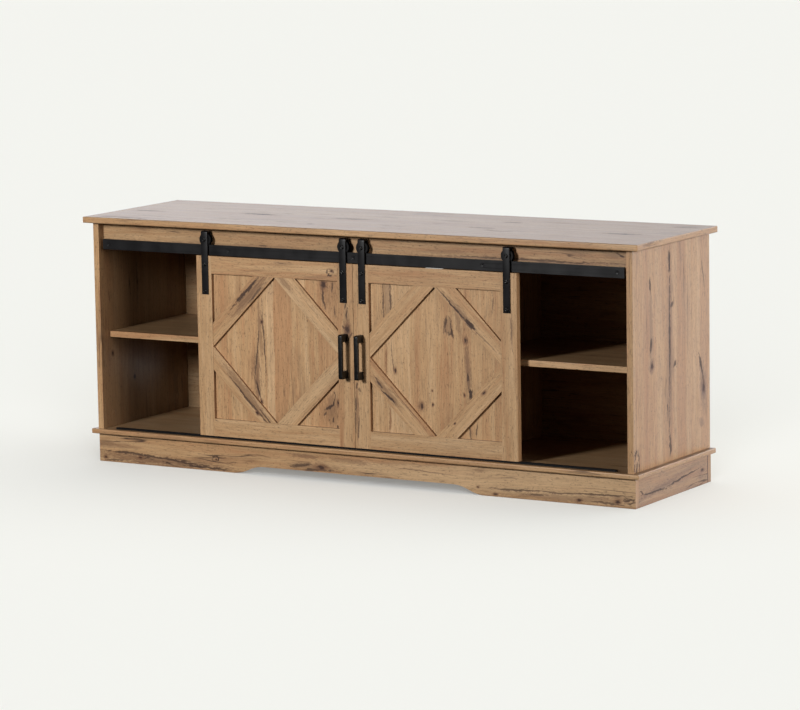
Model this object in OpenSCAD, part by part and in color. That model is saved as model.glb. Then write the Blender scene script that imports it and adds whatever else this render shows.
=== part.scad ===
// Low media cabinet with two top-hung sliding doors between three bays.
// Millimetres, +Z up, +X to the viewer's right, the doors face -Y.
// Origin: on the floor, at the middle of the overall width and depth.

/* [Overall] */
// Width over the two side panels
cabinet_w = 1460; // [1210:10:1760]
// Depth of the side panels, front edge to rear edge
cabinet_d = 390; // [320:5:480]
// Height from the floor to the top surface
cabinet_h = 600; // [500:5:720]

/* [Boards] */
// Thickness of the side panels, dividers, fascia and skirts
board_t = 15; // [14:0.5:20]
// Thickness of the top board
top_t = 15; // [14:0.5:25]
// Thickness of the base board
base_t = 12; // [12:0.5:22]
// Thickness of the shelves
shelf_t = 15; // [12:0.5:22]
// Radius along the edges of the top and base boards
edge_r = 3; // [1:0.5:5.5]
// Radius on the front edges of the shelves
shelf_edge_r = 1.5; // [0.5:0.5:4]

/* [Top board] */
// Overhang of the top board past each side panel
top_side_over = 20; // [5:0.5:40]
// Overhang of the top board past the front of the side panels
top_front_over = 16; // [5:1:22]
// Overhang of the top board past the rear of the side panels
top_rear_over = 5; // [0:1:20]

/* [Plinth and base board] */
// Height of the plinth skirts
plinth_h = 69; // [45:1:100]
// Overhang of the base board past each side panel
base_side_over = 16; // [4:0.5:30]
// Overhang of the base board past the front of the side panels
base_front_over = 8; // [2:1:20]
// Set-back of the front skirt from the front of the side panels
skirt_set = 5; // [0:1:15]
// Distance that the side skirts stand proud of the side panels
skirt_out = 2; // [0:0.5:4]
// Height of the cut-out under the front skirt
cut_h = 20; // [10:1:35]
// Length of the straight top of the cut-out
cut_flat = 516; // [200:2:800]
// Length of each ogee at the ends of the cut-out
ogee_l = 87; // [60:1:140]
// Radius of the foot disc under the crossbar
foot_r = 18; // [12:1:25]

/* [Bays] */
// Clear width of the centre bay
centre_bay_w = 564; // [450:2:700]
// Height of the shelves' top faces above the floor
shelf_z = 317; // [260:1:380]
// Thickness of the back panels
back_t = 3; // [2.5:0.5:6]
// Distance from the rear edges to the back of the back panels
back_inset = 15; // [8:1:25]
// Depth of the grooves that hold the back panels
groove_depth = 4; // [2:0.5:5]
// Radius of the cable holes in the back panels
cable_r = 28; // [15:1:40]
// Distance from the side panels to the middle of the outer cable holes
cable_inset = 95; // [60:5:200]
// Diameter of the shelf pins
pin_d = 5; // [4:0.5:6]

/* [Fascia and track] */
// Height of the fascia under the top board
fascia_h = 65; // [50:1:100]
// Set-back of the fascia from the front of the side panels
fascia_set = 21; // [20:1:30]
// Height of the flat track bar
track_h = 25; // [20:1:35]
// Thickness of the flat track bar
track_t = 5; // [4:0.5:6]
// Distance from the top board down to the track's upper edge
track_drop = 39.5; // [36:0.5:60]
// Gap between each end of the track and the side panel
track_end_gap = 8; // [2:1:20]
// Number of bolts that hold the track
track_bolt_n = 5; // [3:1:7]

/* [Doors] */
// Width of each door
door_w = 434; // [380:1:460]
// Thickness of the stiles and rails
door_t = 15; // [13:0.5:15]
// Gap between the closed doors
door_gap = 1; // [1:0.5:6]
// Set-back of the door faces from the front of the side panels
door_set = 2.5; // [0:0.5:4]
// Gap between the doors and the base board
door_floor_gap = 5; // [4:0.5:10]
// Gap between the doors and the track above them
door_track_gap = 1.5; // [1:0.5:5]
// Width of the stiles and rails
stile_w = 42; // [34:1:60]
// Width of the diagonal braces
brace_w = 40; // [25:1:60]
// Depth of the recessed panel behind the frame's face
recess = 8; // [3:0.5:9]
// Distance that the braces stay below the frame's face
brace_step = 1; // [0.5:0.5:2]
// Thickness of the door panels
panel_t = 4; // [3:0.5:5]

/* [Hangers] */
// Width of the hanger straps
strap_w = 18; // [14:1:28]
// Thickness of the hanger straps
strap_t = 3; // [2:0.5:4]
// Distance from a door's edge to the middle of a strap
strap_inset = 25; // [20:1:40]
// Distance from the top of a door down to the foot of its straps
strap_foot = 92; // [70:1:120]
// Outer radius of the wheels
wheel_r = 16; // [14:0.5:18]
// Radius at the bottom of the wheels' groove
wheel_groove_r = 12; // [10:0.5:13]
// Thickness of the wheels
wheel_w = 10; // [8:0.5:10]
// Radius of the axle bolts
axle_r = 4; // [3:0.5:5]
// Radius of the bolts that hold the straps
strap_bolt_r = 3; // [2:0.5:4]

/* [Floor guide] */
// Width of the guide channel
channel_w = 12; // [11:0.5:14]
// Height of the guide channel
channel_h = 4; // [3:0.5:4]
// Distance from each end of the channel to the side panel
channel_end_gap = 31; // [15:1:60]
// Radius of the guide pins
guide_pin_r = 2.5; // [2:0.5:3]
// Distance from a door's edge to its guide pins
guide_pin_inset = 30; // [20:1:40]

/* [Handles] */
// Overall height of a handle
handle_h = 105; // [80:1:160]
// Width of a handle
handle_w = 10; // [7:0.5:14]
// Distance that a handle stands out from the door
handle_reach = 28; // [22:1:40]
// Thickness of a handle's bar
handle_bar_t = 8; // [6:0.5:10]
// Height of a handle's posts
handle_post_h = 18; // [10:1:24]
// Radius of the handle screws
handle_screw_r = 2; // [1.5:0.5:2.5]

/* [Hidden] */
$fn = 48;
fine = 180;             // facets of the large arcs and the wheels

// Fits
slide_fit = 0.2;     // a panel in its groove
bore_fit = 0.05;     // radial gap round a pin, bolt or cam
axle_fit = 0.06;     // radial gap between a wheel and its axle
roll_gap = 0.3;      // between a wheel's groove and the track
strap_gap = 1.1;     // between a wheel and the strap round it
shelf_gap = 1;       // between a shelf's end and the board beside it
cut_over = 1;        // how far a cutting tool runs past a face

// Front and rear planes: the handles and the top board's rear edge
// are equally far from the origin
front_reach = max(handle_reach - door_set, top_front_over);
front_y = -(cabinet_d + top_rear_over - front_reach) / 2;
rear_y = front_y + cabinet_d;

// Levels
base_z = plinth_h + base_t;
top_z = cabinet_h - top_t;
shelf_low = shelf_z - shelf_t;

// Sideways
outer_x = cabinet_w / 2;
inner_x = outer_x - board_t;
bay_x = centre_bay_w / 2;
divider_x = bay_x + board_t;

// Fascia, dividers and back panels, front to rear
fascia_y = front_y + fascia_set;
inside_y = fascia_y + board_t;
back_y = rear_y - back_inset - back_t;

// Doors
door_y = front_y + door_set;
door_z = base_z + door_floor_gap;
track_top = top_z - track_drop;
track_z = track_top - track_h;
door_top = track_z - door_track_gap;
door_h = door_top - door_z;
door_in = door_gap / 2;
door_out = door_in + door_w;
door_mid = (door_in + door_out) / 2;
field_w = door_w - 2 * stile_w;
field_h = door_h - 2 * stile_w;
panel_y = door_y + recess;
tongue = 7;              // how far a panel or rail reaches into its groove
tongue_stop = 0.5;       // gap at the bottom of that groove
brace_angle = atan2(field_h, field_w);
brace_rise = brace_w / cos(brace_angle);
brace_run = brace_w / sin(brace_angle);
pad_l = 45;              // felt pad on the top edge of the right door
pad_w = 8;
pad_h = 0.8;
pad_set = 1;             // from the door's face to its pad

// Hangers: the wheel runs in the plane of the track
wheel_y = door_y + strap_gap + wheel_w / 2;
axle_z = track_top + roll_gap + wheel_groove_r;
groove_gap = 0.5;        // between the track and each side of a wheel's groove
groove_w = track_t + 2 * groove_gap;
strap_back_y = wheel_y + wheel_w / 2 + strap_gap;
strap_top = axle_z + wheel_r + strap_gap + strap_t;
strap_bend = 4;          // outer radius of the strap's two bends
strap_tail = 10;         // how far the rear leg reaches below the axle
strap_bolt_drop = 20;    // from the top of a door to its upper strap bolts
strap_bolt_up = 8;       // from the foot of a strap to its lower bolt
strap_bolt_zs = [
    door_top - strap_bolt_drop,
    door_top - strap_foot + strap_bolt_up
];
outer_strap_x = door_out - strap_inset;
inner_strap_x = door_in + strap_inset;
bolt_head_r = 5;
bolt_head_h = 3;
nut_r = 5.5;
nut_h = 3;

// Track fixing
spacer_r = 6;
track_bolt_r = 2.5;
track_bolt_head_r = 5;
track_bolt_head_h = 2.5;
track_bolt_grip = 12;    // depth of the bolts in the fascia
track_half = inner_x - track_end_gap;
track_bolt_end = 18;     // from the track's end to its last bolt
track_bolt_z = track_z + track_h / 2;
track_bolt_xs = [
    for (i = [0:track_bolt_n - 1])
        (track_half - track_bolt_end) * (2 * i / (track_bolt_n - 1) - 1)
];
track_y = wheel_y - track_t / 2;

// Floor guide: the channel's closed ends stop the doors when they open
channel_half = inner_x - channel_end_gap;
channel_web = 1;
channel_wall = 3;
channel_y = door_y + door_t / 2;
stop_gap = 0.5;
outer_pin_x = door_out - guide_pin_inset;
inner_pin_x = door_in + guide_pin_inset;
pin_tip_gap = 0.5;
pin_stem_l = 14;
pin_flange_r = 4;
pin_flange_h = 0.5;

// Handles, screwed on from behind
handle_x = door_in + stile_w / 2;
handle_z = (door_z + door_top) / 2;
handle_post_zs = [
    handle_z - handle_h / 2 + handle_post_h / 2,
    handle_z + handle_h / 2 - handle_post_h / 2
];
handle_round = 5;
handle_screw_in = 14;    // depth of the screws in the posts
screw_head_r = 4;
screw_head_h = 2;

// Knock-down fittings
cam_r = 7.5;
cam_h = 12;
cam_reach = 34;          // from the board's end to the cam's centre
cam_bolt_r = 3;
cam_bolt_grip = 9;       // depth of a bolt in the top or base board
cam_set = 45;            // from a board's front or rear edge to its cams
pin_depth = 6;           // depth of a shelf pin in its board
pin_reach = 8;           // how far a shelf pin stands out
pin_set = 40;            // from a shelf's front or rear edge to its pins

// Cable holes
cable_side_x = inner_x - cable_inset;
cable_low_z = (base_z + shelf_low) / 2;
cable_high_z = (shelf_z + track_z) / 2;

// Cut-out of the front skirt: each end is two equal arcs, tangent to the
// floor and to the cut-out's top
ogee_r = (ogee_l * ogee_l + cut_h * cut_h) / (4 * cut_h);

// Crossbar and foot under the base board
crossbar_lift = 4;       // from the cut-out's top to the crossbar
crossbar_z = cut_h + crossbar_lift;
foot_y = (front_y + skirt_set + rear_y) / 2;
foot_h = 8;
foot_stem_r = 4;
foot_stem_in = 15;

// Colours
oak = [0.70, 0.56, 0.40];
oak_dark = [0.58, 0.45, 0.31];
black_steel = [0.16, 0.16, 0.17];
black_plastic = [0.10, 0.10, 0.10];
zinc = [0.70, 0.70, 0.72];
felt = [0.75, 0.74, 0.72];

// ---------- shared shapes ----------

// A box given by its two corners
module span(lo, hi) {
    translate(lo)
        cube(hi - lo);
}

// A cylinder along Y that starts at y and is l long
module rod_y(x, y, z, r, l) {
    translate([x, y, z])
        rotate([-90, 0, 0])
            cylinder(r = r, h = l);
}

// A rectangle with rounded corners, by its size and radius
module round_rect(w, h, r) {
    union() {
        translate([r, 0])
            square([w - 2 * r, h]);
        translate([0, r])
            square([w, h - 2 * r]);
        for (x = [r, w - r])
            for (y = [r, h - r])
                translate([x, y])
                    circle(r = r);
    }
}

// A board with rounded edges all round and rounded corners
module edged_board(lo, hi, r) {
    size = hi - lo;
    intersection() {
        translate(lo)
            rotate([90, 0, 90])
                linear_extrude(size[0])
                    round_rect(size[1], size[2], r);
        translate([lo[0], hi[1], lo[2]])
            rotate([90, 0, 0])
                linear_extrude(size[1])
                    round_rect(size[0], size[2], r);
        translate(lo)
            linear_extrude(size[2])
                round_rect(size[0], size[1], r);
    }
}

// The mirror image of a part drawn on the left
module on_right() {
    mirror([1, 0, 0])
        children();
}

// ---------- cutting tools shared by boards that meet ----------

// The plane of the back panels, as a slot of the given width and height
module back_slot(x0, x1, z0, z1) {
    span([x0, back_y - slide_fit, z0], [x1, back_y + back_t + slide_fit, z1]);
}

// Rows of cam fittings: x of the board's middle, and which face holds the cam
CAM_BOARDS = [
    [-(outer_x - board_t / 2), 1],
    [-(bay_x + board_t / 2), -1],
    [bay_x + board_t / 2, 1],
    [outer_x - board_t / 2, -1]
];
function cam_rows(i) = [
    (abs(CAM_BOARDS[i][0]) > divider_x ? front_y : inside_y) + cam_set,
    rear_y - back_inset - cam_set
];

module cam_bolt_holes(i, r) {
    x = CAM_BOARDS[i][0];
    for (y = cam_rows(i)) {
        translate([x, y, base_z - cam_bolt_grip])
            cylinder(r = r, h = cam_bolt_grip + cam_reach);
        translate([x, y, top_z - cam_reach])
            cylinder(r = r, h = cam_bolt_grip + cam_reach);
    }
}

module cam_seats(i, r, l) {
    x = CAM_BOARDS[i][0];
    side = CAM_BOARDS[i][1];
    for (y = cam_rows(i))
        for (z = [base_z + cam_reach, top_z - cam_reach])
            translate([side > 0 ? x + board_t / 2 - l : x - board_t / 2, y, z])
                rotate([0, 90, 0])
                    cylinder(r = r, h = l);
}

// Shelf pins that stand in the face at x, on the side that points to sign
module pins_at(x, sign, r, depth, reach) {
    for (y = [inside_y + pin_set, back_y - pin_set])
        translate([sign > 0 ? x - depth : x - reach, y, shelf_low - pin_d / 2 - bore_fit])
            rotate([0, 90, 0])
                cylinder(r = r, h = depth + reach);
}

// ---------- carcass ----------

module top_board() {
    color(oak)
        difference() {
            edged_board(
                [-outer_x - top_side_over, front_y - top_front_over, top_z],
                [outer_x + top_side_over, rear_y + top_rear_over, cabinet_h], edge_r);
            back_slot(-inner_x - groove_depth, inner_x + groove_depth,
                top_z - cut_over, top_z + groove_depth);
            for (i = [0:3])
                cam_bolt_holes(i, cam_bolt_r + bore_fit);
        }
}

module base_board() {
    color(oak)
        difference() {
            edged_board(
                [-outer_x - base_side_over, front_y - base_front_over, plinth_h],
                [outer_x + base_side_over, rear_y, base_z], edge_r);
            back_slot(-inner_x - groove_depth, inner_x + groove_depth,
                base_z - groove_depth, base_z + cut_over);
            for (i = [0:3])
                cam_bolt_holes(i, cam_bolt_r + bore_fit);
        }
}

module side_panel(i) {
    difference() {
        span([-outer_x, front_y, base_z], [-inner_x, rear_y, top_z]);
        back_slot(-inner_x - groove_depth, -inner_x + cut_over,
            base_z - cut_over, top_z + cut_over);
        cam_bolt_holes(i, cam_bolt_r + bore_fit);
        cam_seats(i, cam_r + bore_fit, cam_h);
        pins_at(-inner_x, 1, pin_d / 2 + bore_fit, pin_depth, cut_over);
    }
}

module left_side_panel() {
    color(oak)
        side_panel(0);
}

module right_side_panel() {
    color(oak)
        on_right()
            side_panel(0);
}

module divider(i) {
    difference() {
        span([-divider_x, inside_y, base_z], [-bay_x, rear_y, top_z]);
        back_slot(-divider_x - cut_over, -divider_x + groove_depth,
            base_z - cut_over, top_z + cut_over);
        back_slot(-bay_x - groove_depth, -bay_x + cut_over,
            base_z - cut_over, top_z + cut_over);
        cam_bolt_holes(i, cam_bolt_r + bore_fit);
        cam_seats(i, cam_r + bore_fit, cam_h);
        pins_at(-divider_x, -1, pin_d / 2 + bore_fit, pin_depth, cut_over);
        pins_at(-bay_x, 1, pin_d / 2 + bore_fit, pin_depth, cut_over);
    }
}

module left_divider() {
    color(oak)
        divider(1);
}

module right_divider() {
    color(oak)
        on_right()
            divider(1);
}

module fascia_board() {
    color(oak)
        difference() {
            span([-inner_x, fascia_y, top_z - fascia_h], [inner_x, inside_y, top_z]);
            for (x = track_bolt_xs)
                rod_y(x, fascia_y - cut_over, track_bolt_z, track_bolt_r + bore_fit,
                    track_bolt_grip + cut_over);
        }
}

// A back panel between x0 and x1, held in grooves on all four sides
module back_panel(x0, x1, holes) {
    lift = groove_depth - slide_fit;
    difference() {
        span([x0 - lift, back_y, base_z - lift], [x1 + lift, back_y + back_t, top_z + lift]);
        for (h = holes)
            rod_y(h[0], back_y - cut_over, h[1], cable_r, back_t + 2 * cut_over);
    }
}

module left_back_panel() {
    color(oak_dark)
        back_panel(-inner_x, -divider_x, [[-cable_side_x, cable_low_z]]);
}

module centre_back_panel() {
    color(oak_dark)
        back_panel(-bay_x, bay_x, [[0, cable_low_z], [0, cable_high_z]]);
}

module right_back_panel() {
    color(oak_dark)
        back_panel(divider_x, inner_x, [[cable_side_x, cable_low_z]]);
}

// A shelf between x0 and x1, with its front edges rounded
module shelf(x0, x1) {
    w = x1 - x0 - 2 * shelf_gap;
    translate([x0 + shelf_gap, inside_y, shelf_low])
        rotate([90, 0, 90])
            linear_extrude(w)
                union() {
                    translate([shelf_edge_r, 0])
                        square([back_y - inside_y - shelf_gap - shelf_edge_r, shelf_t]);
                    translate([0, shelf_edge_r])
                        square([shelf_edge_r, shelf_t - 2 * shelf_edge_r]);
                    for (z = [shelf_edge_r, shelf_t - shelf_edge_r])
                        translate([shelf_edge_r, z])
                            circle(r = shelf_edge_r);
                }
}

module left_shelf() {
    color(oak)
        shelf(-inner_x, -divider_x);
}

module centre_shelf() {
    color(oak)
        shelf(-bay_x, bay_x);
}

module right_shelf() {
    color(oak)
        shelf(divider_x, inner_x);
}

module shelf_pins() {
    color(zinc)
        for (face = [[-inner_x, 1], [-divider_x, -1], [-bay_x, 1],
                     [bay_x, -1], [divider_x, 1], [inner_x, -1]])
            pins_at(face[0], face[1], pin_d / 2, pin_depth, pin_reach);
}

module cam_locks() {
    color(zinc)
        for (i = [0:3])
            difference() {
                cam_seats(i, cam_r, cam_h);
                cam_bolt_holes(i, cam_bolt_r + 2 * bore_fit);
            }
}

module cam_bolts() {
    color(zinc)
        for (i = [0:3])
            cam_bolt_holes(i, cam_bolt_r);
}

// ---------- plinth ----------

// The cut-out's end on the right
module ogee_cut() {
    middle = cut_flat / 2 + ogee_l / 2;
    intersection() {
        translate([cut_flat / 2, cut_h - ogee_r])
            circle(r = ogee_r, $fn = fine);
        translate([cut_flat / 2 - cut_over, 0])
            square([ogee_l / 2 + cut_over, cut_h]);
    }
    difference() {
        translate([middle, 0])
            square([ogee_l / 2, cut_h / 2]);
        translate([cut_flat / 2 + ogee_l, ogee_r])
            circle(r = ogee_r, $fn = fine);
    }
}

module front_skirt() {
    x = outer_x + skirt_out;
    color(oak)
        translate([0, front_y + skirt_set + board_t, 0])
            rotate([90, 0, 0])
                linear_extrude(board_t)
                    difference() {
                        translate([-x, 0])
                            square([2 * x, plinth_h]);
                        translate([-cut_flat / 2, -cut_over])
                            square([cut_flat, cut_h + cut_over]);
                        ogee_cut();
                        mirror([1, 0])
                            ogee_cut();
                    }
}

module rear_skirt() {
    x = outer_x + skirt_out;
    color(oak)
        span([-x, rear_y - board_t, 0], [x, rear_y, plinth_h]);
}

module left_skirt() {
    x = outer_x + skirt_out;
    color(oak)
        span([-x, front_y + skirt_set + board_t, 0], [-x + board_t, rear_y - board_t, plinth_h]);
}

module right_skirt() {
    on_right()
        left_skirt();
}

module plinth_crossbar() {
    color(oak)
        difference() {
            span([-board_t / 2, front_y + skirt_set + board_t, crossbar_z],
                [board_t / 2, rear_y - board_t, plinth_h]);
            translate([0, foot_y, crossbar_z - cut_over])
                cylinder(r = foot_stem_r + bore_fit, h = foot_stem_in + cut_over);
        }
}

module centre_foot() {
    color(black_plastic)
        translate([0, foot_y, 0])
            union() {
                cylinder(r = foot_r, h = foot_h);
                cylinder(r = foot_stem_r, h = crossbar_z + foot_stem_in);
            }
}

// ---------- track ----------

module track_rail() {
    color(black_steel)
        difference() {
            span([-track_half, track_y, track_z], [track_half, track_y + track_t, track_top]);
            for (x = track_bolt_xs) {
                rod_y(x, track_y - cut_over, track_bolt_z, track_bolt_r + bore_fit,
                    track_t + 2 * cut_over);
                rod_y(x, track_y - cut_over, track_bolt_z, track_bolt_head_r + bore_fit,
                    track_bolt_head_h + cut_over);
            }
        }
}

module track_spacers() {
    color(black_steel)
        for (x = track_bolt_xs)
            difference() {
                rod_y(x, track_y + track_t, track_bolt_z, spacer_r,
                    fascia_y - track_y - track_t);
                rod_y(x, track_y, track_bolt_z, track_bolt_r + bore_fit,
                    fascia_y - track_y + cut_over);
            }
}

module track_bolts() {
    color(black_steel)
        for (x = track_bolt_xs)
            union() {
                rod_y(x, track_y, track_bolt_z, track_bolt_head_r, track_bolt_head_h);
                rod_y(x, track_y, track_bolt_z, track_bolt_r,
                    fascia_y - track_y + track_bolt_grip);
            }
}

// ---------- floor guide ----------

// A bar along X with round ends, by its half length and width
module round_bar(half, w, h) {
    linear_extrude(h)
        union() {
            translate([-half + w / 2, -w / 2])
                square([2 * half - w, w]);
            for (x = [-half + w / 2, half - w / 2])
                translate([x, 0])
                    circle(r = w / 2);
        }
}

module guide_channel() {
    color(black_plastic)
        translate([0, channel_y, base_z])
            difference() {
                round_bar(channel_half, channel_w, channel_h);
                translate([0, 0, channel_web])
                    round_bar(channel_half - channel_wall, channel_w - 2 * channel_wall,
                        channel_h);
            }
}

module guide_centre_stop() {
    w = channel_w - 2 * channel_wall - slide_fit;
    half = inner_pin_x - guide_pin_r - stop_gap;
    color(black_plastic)
        translate([0, channel_y, base_z + channel_web])
            span([-half, -w / 2, 0], [half, w / 2, channel_h - channel_web]);
}

// ---------- doors, drawn as the left one ----------

// The panel's tongue in its groove, seen as a slot of the panel's thickness
module door_slot(x0, x1, z0, z1) {
    span([x0, panel_y - slide_fit / 2, z0], [x1, panel_y + panel_t + slide_fit / 2, z1]);
}

module door_stile(x0, inner) {
    x1 = x0 + stile_w;
    strap_x = inner ? -inner_strap_x : -outer_strap_x;
    pin_x = inner ? -inner_pin_x : -outer_pin_x;
    color(oak)
        difference() {
            span([x0, door_y, door_z], [x1, door_y + door_t, door_top]);
            if (inner)
                door_slot(x0 - cut_over, x0 + tongue + tongue_stop,
                    door_z - cut_over, door_top + cut_over);
            else
                door_slot(x1 - tongue - tongue_stop, x1 + cut_over,
                    door_z - cut_over, door_top + cut_over);
            for (z = strap_bolt_zs)
                rod_y(strap_x, door_y - cut_over, z, strap_bolt_r + bore_fit,
                    door_t + 2 * cut_over);
            translate([pin_x, channel_y, door_z - cut_over])
                cylinder(r = pin_flange_r + bore_fit, h = cut_over + pin_flange_h);
            translate([pin_x, channel_y, door_z])
                cylinder(r = guide_pin_r + bore_fit, h = pin_stem_l);
            if (inner)
                for (z = handle_post_zs)
                    rod_y(-handle_x, door_y - cut_over, z, handle_screw_r + bore_fit,
                        door_t + 2 * cut_over);
        }
}

module left_door_outer_stile() {
    door_stile(-door_out, false);
}

module left_door_inner_stile() {
    door_stile(-door_in - stile_w, true);
}

// A rail between the stiles, with a tongue at each end
module door_rail(z0, upper) {
    x0 = -door_out + stile_w;
    x1 = -door_in - stile_w;
    z1 = z0 + stile_w;
    slot_z = upper ? z0 - cut_over : z1 - tongue - tongue_stop;
    color(oak)
        difference() {
            union() {
                span([x0, door_y, z0], [x1, door_y + door_t, z1]);
                span([x0 - tongue, panel_y, z0], [x1 + tongue, panel_y + panel_t, z1]);
            }
            door_slot(x0 - tongue - cut_over, x1 + tongue + cut_over,
                slot_z, slot_z + tongue + tongue_stop + cut_over);
        }
}

module left_door_top_rail() {
    door_rail(door_top - stile_w, true);
}

module left_door_bottom_rail() {
    door_rail(door_z, false);
}

module left_door_panel() {
    color(oak)
        span([-door_out + stile_w - tongue, panel_y, door_z + stile_w - tongue],
            [-door_in - stile_w + tongue, panel_y + panel_t, door_top - stile_w + tongue]);
}

// One brace in the field's upper right quarter: its inner edge runs from the
// middle of the stile to the middle of the rail
module brace() {
    polygon([
        [field_w / 2, 0],
        [field_w / 2, brace_rise],
        [brace_run, field_h / 2],
        [0, field_h / 2]
    ]);
}

module brace_pair(flip) {
    color(oak)
        translate([-door_mid, panel_y, handle_z])
            mirror([0, 0, flip])
                for (side = [0, 1])
                    mirror([side, 0, 0])
                        rotate([90, 0, 0])
                            linear_extrude(recess - brace_step)
                                brace();
}

module left_door_upper_braces() {
    brace_pair(0);
}

module left_door_lower_braces() {
    brace_pair(1);
}

module left_door_handle() {
    y0 = door_y - handle_reach;
    color(black_steel)
        difference() {
            translate([-handle_x - handle_w / 2, y0, handle_z - handle_h / 2])
                rotate([90, 0, 90])
                    linear_extrude(handle_w)
                        difference() {
                            union() {
                                translate([handle_round, 0])
                                    square([handle_reach - handle_round, handle_h]);
                                translate([0, handle_round])
                                    square([handle_round, handle_h - 2 * handle_round]);
                                for (z = [handle_round, handle_h - handle_round])
                                    translate([handle_round, z])
                                        circle(r = handle_round);
                            }
                            translate([handle_bar_t, handle_post_h])
                                square([handle_reach, handle_h - 2 * handle_post_h]);
                        }
            for (z = handle_post_zs)
                rod_y(-handle_x, door_y - handle_screw_in, z, handle_screw_r + bore_fit,
                    handle_screw_in + cut_over);
        }
}

module left_door_handle_screws() {
    color(zinc)
        for (z = handle_post_zs)
            union() {
                rod_y(-handle_x, door_y - handle_screw_in, z, handle_screw_r,
                    handle_screw_in + door_t);
                rod_y(-handle_x, door_y + door_t, z, screw_head_r, screw_head_h);
            }
}

// A flat strap that hooks over its wheel: long front leg, short rear leg
module strap(x) {
    depth = strap_back_y + strap_t - door_y + strap_t;
    foot = door_top - strap_foot;
    tail = axle_z - strap_tail;
    inner_bend = strap_bend - strap_t;
    color(black_steel)
        difference() {
            translate([x - strap_w / 2, door_y - strap_t, 0])
                rotate([90, 0, 90])
                    linear_extrude(strap_w)
                        difference() {
                            union() {
                                translate([0, foot])
                                    square([strap_t, strap_top - strap_bend - foot]);
                                translate([depth - strap_t, tail])
                                    square([strap_t, strap_top - strap_bend - tail]);
                                translate([0, strap_top - depth])
                                    intersection() {
                                        round_rect(depth, depth, strap_bend);
                                        translate([0, depth - strap_bend])
                                            square([depth, strap_bend]);
                                    }
                            }
                            translate([strap_t, strap_top - strap_t - depth])
                                round_rect(depth - 2 * strap_t, depth, inner_bend);
                        }
            for (z = strap_bolt_zs)
                rod_y(x, door_y - strap_t - cut_over, z, strap_bolt_r + bore_fit,
                    strap_t + 2 * cut_over);
            rod_y(x, door_y - strap_t - cut_over, axle_z, axle_r + bore_fit,
                depth + 2 * cut_over);
        }
}

module left_door_outer_strap() {
    strap(-outer_strap_x);
}

module left_door_inner_strap() {
    strap(-inner_strap_x);
}

module left_door_strap_bolts() {
    color(black_steel)
        for (x = [-outer_strap_x, -inner_strap_x])
            for (z = strap_bolt_zs)
                union() {
                    rod_y(x, door_y - strap_t - bolt_head_h, z, bolt_head_r, bolt_head_h);
                    rod_y(x, door_y - strap_t, z, strap_bolt_r, strap_t + door_t);
                    rod_y(x, door_y + door_t, z, nut_r, nut_h);
                }
}

module left_door_axle_bolts() {
    color(black_steel)
        for (x = [-outer_strap_x, -inner_strap_x])
            union() {
                rod_y(x, door_y - strap_t - bolt_head_h, axle_z, bolt_head_r, bolt_head_h);
                rod_y(x, door_y - strap_t, axle_z, axle_r,
                    strap_back_y + 2 * strap_t - door_y);
            }
}

module left_door_guide_pins() {
    color(black_plastic)
        for (x = [-outer_pin_x, -inner_pin_x])
            translate([x, channel_y, 0])
                union() {
                    translate([0, 0, door_z])
                        cylinder(r = pin_flange_r, h = pin_flange_h);
                    translate([0, 0, base_z + channel_web + pin_tip_gap])
                        cylinder(r = guide_pin_r,
                            h = door_z + pin_stem_l - base_z - channel_web - pin_tip_gap);
                }
}

// A wheel with a groove that straddles the track's upper edge
module wheel(x) {
    side_w = (wheel_w - groove_w) / 2;
    color(black_plastic)
        translate([x, wheel_y - wheel_w / 2, axle_z])
            rotate([-90, 0, 0])
                rotate_extrude($fn = fine)
                    polygon([
                        [axle_r + axle_fit, 0],
                        [wheel_r, 0],
                        [wheel_r, side_w],
                        [wheel_groove_r, side_w],
                        [wheel_groove_r, side_w + groove_w],
                        [wheel_r, side_w + groove_w],
                        [wheel_r, wheel_w],
                        [axle_r + axle_fit, wheel_w]
                    ]);
}

module left_door_outer_wheel() {
    wheel(-outer_strap_x);
}

module left_door_inner_wheel() {
    wheel(-inner_strap_x);
}

module right_door_lift_pad() {
    color(felt)
        span([door_mid - pad_l / 2, door_y + pad_set, door_top],
            [door_mid + pad_l / 2, door_y + pad_set + pad_w, door_top + pad_h]);
}

// ---------- nodes ----------

top_board();
left_side_panel();
right_side_panel();
left_divider();
right_divider();
base_board();
fascia_board();
left_back_panel();
centre_back_panel();
right_back_panel();
left_shelf();
centre_shelf();
right_shelf();
front_skirt();
rear_skirt();
left_skirt();
right_skirt();
plinth_crossbar();
centre_foot();
track_rail();
track_spacers();
track_bolts();
guide_channel();
guide_centre_stop();
shelf_pins();
cam_locks();
cam_bolts();
left_door_panel();
left_door_outer_stile();
left_door_inner_stile();
left_door_top_rail();
left_door_bottom_rail();
left_door_upper_braces();
left_door_lower_braces();
left_door_handle();
left_door_handle_screws();
left_door_outer_strap();
left_door_inner_strap();
left_door_strap_bolts();
left_door_axle_bolts();
left_door_guide_pins();
left_door_outer_wheel();
left_door_inner_wheel();
on_right() left_door_panel();  // right_door_panel
on_right() left_door_outer_stile();  // right_door_outer_stile
on_right() left_door_inner_stile();  // right_door_inner_stile
on_right() left_door_top_rail();  // right_door_top_rail
on_right() left_door_bottom_rail();  // right_door_bottom_rail
on_right() left_door_upper_braces();  // right_door_upper_braces
on_right() left_door_lower_braces();  // right_door_lower_braces
on_right() left_door_handle();  // right_door_handle
on_right() left_door_handle_screws();  // right_door_handle_screws
on_right() left_door_outer_strap();  // right_door_outer_strap
on_right() left_door_inner_strap();  // right_door_inner_strap
on_right() left_door_strap_bolts();  // right_door_strap_bolts
on_right() left_door_axle_bolts();  // right_door_axle_bolts
on_right() left_door_guide_pins();  // right_door_guide_pins
on_right() left_door_outer_wheel();  // right_door_outer_wheel
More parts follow.
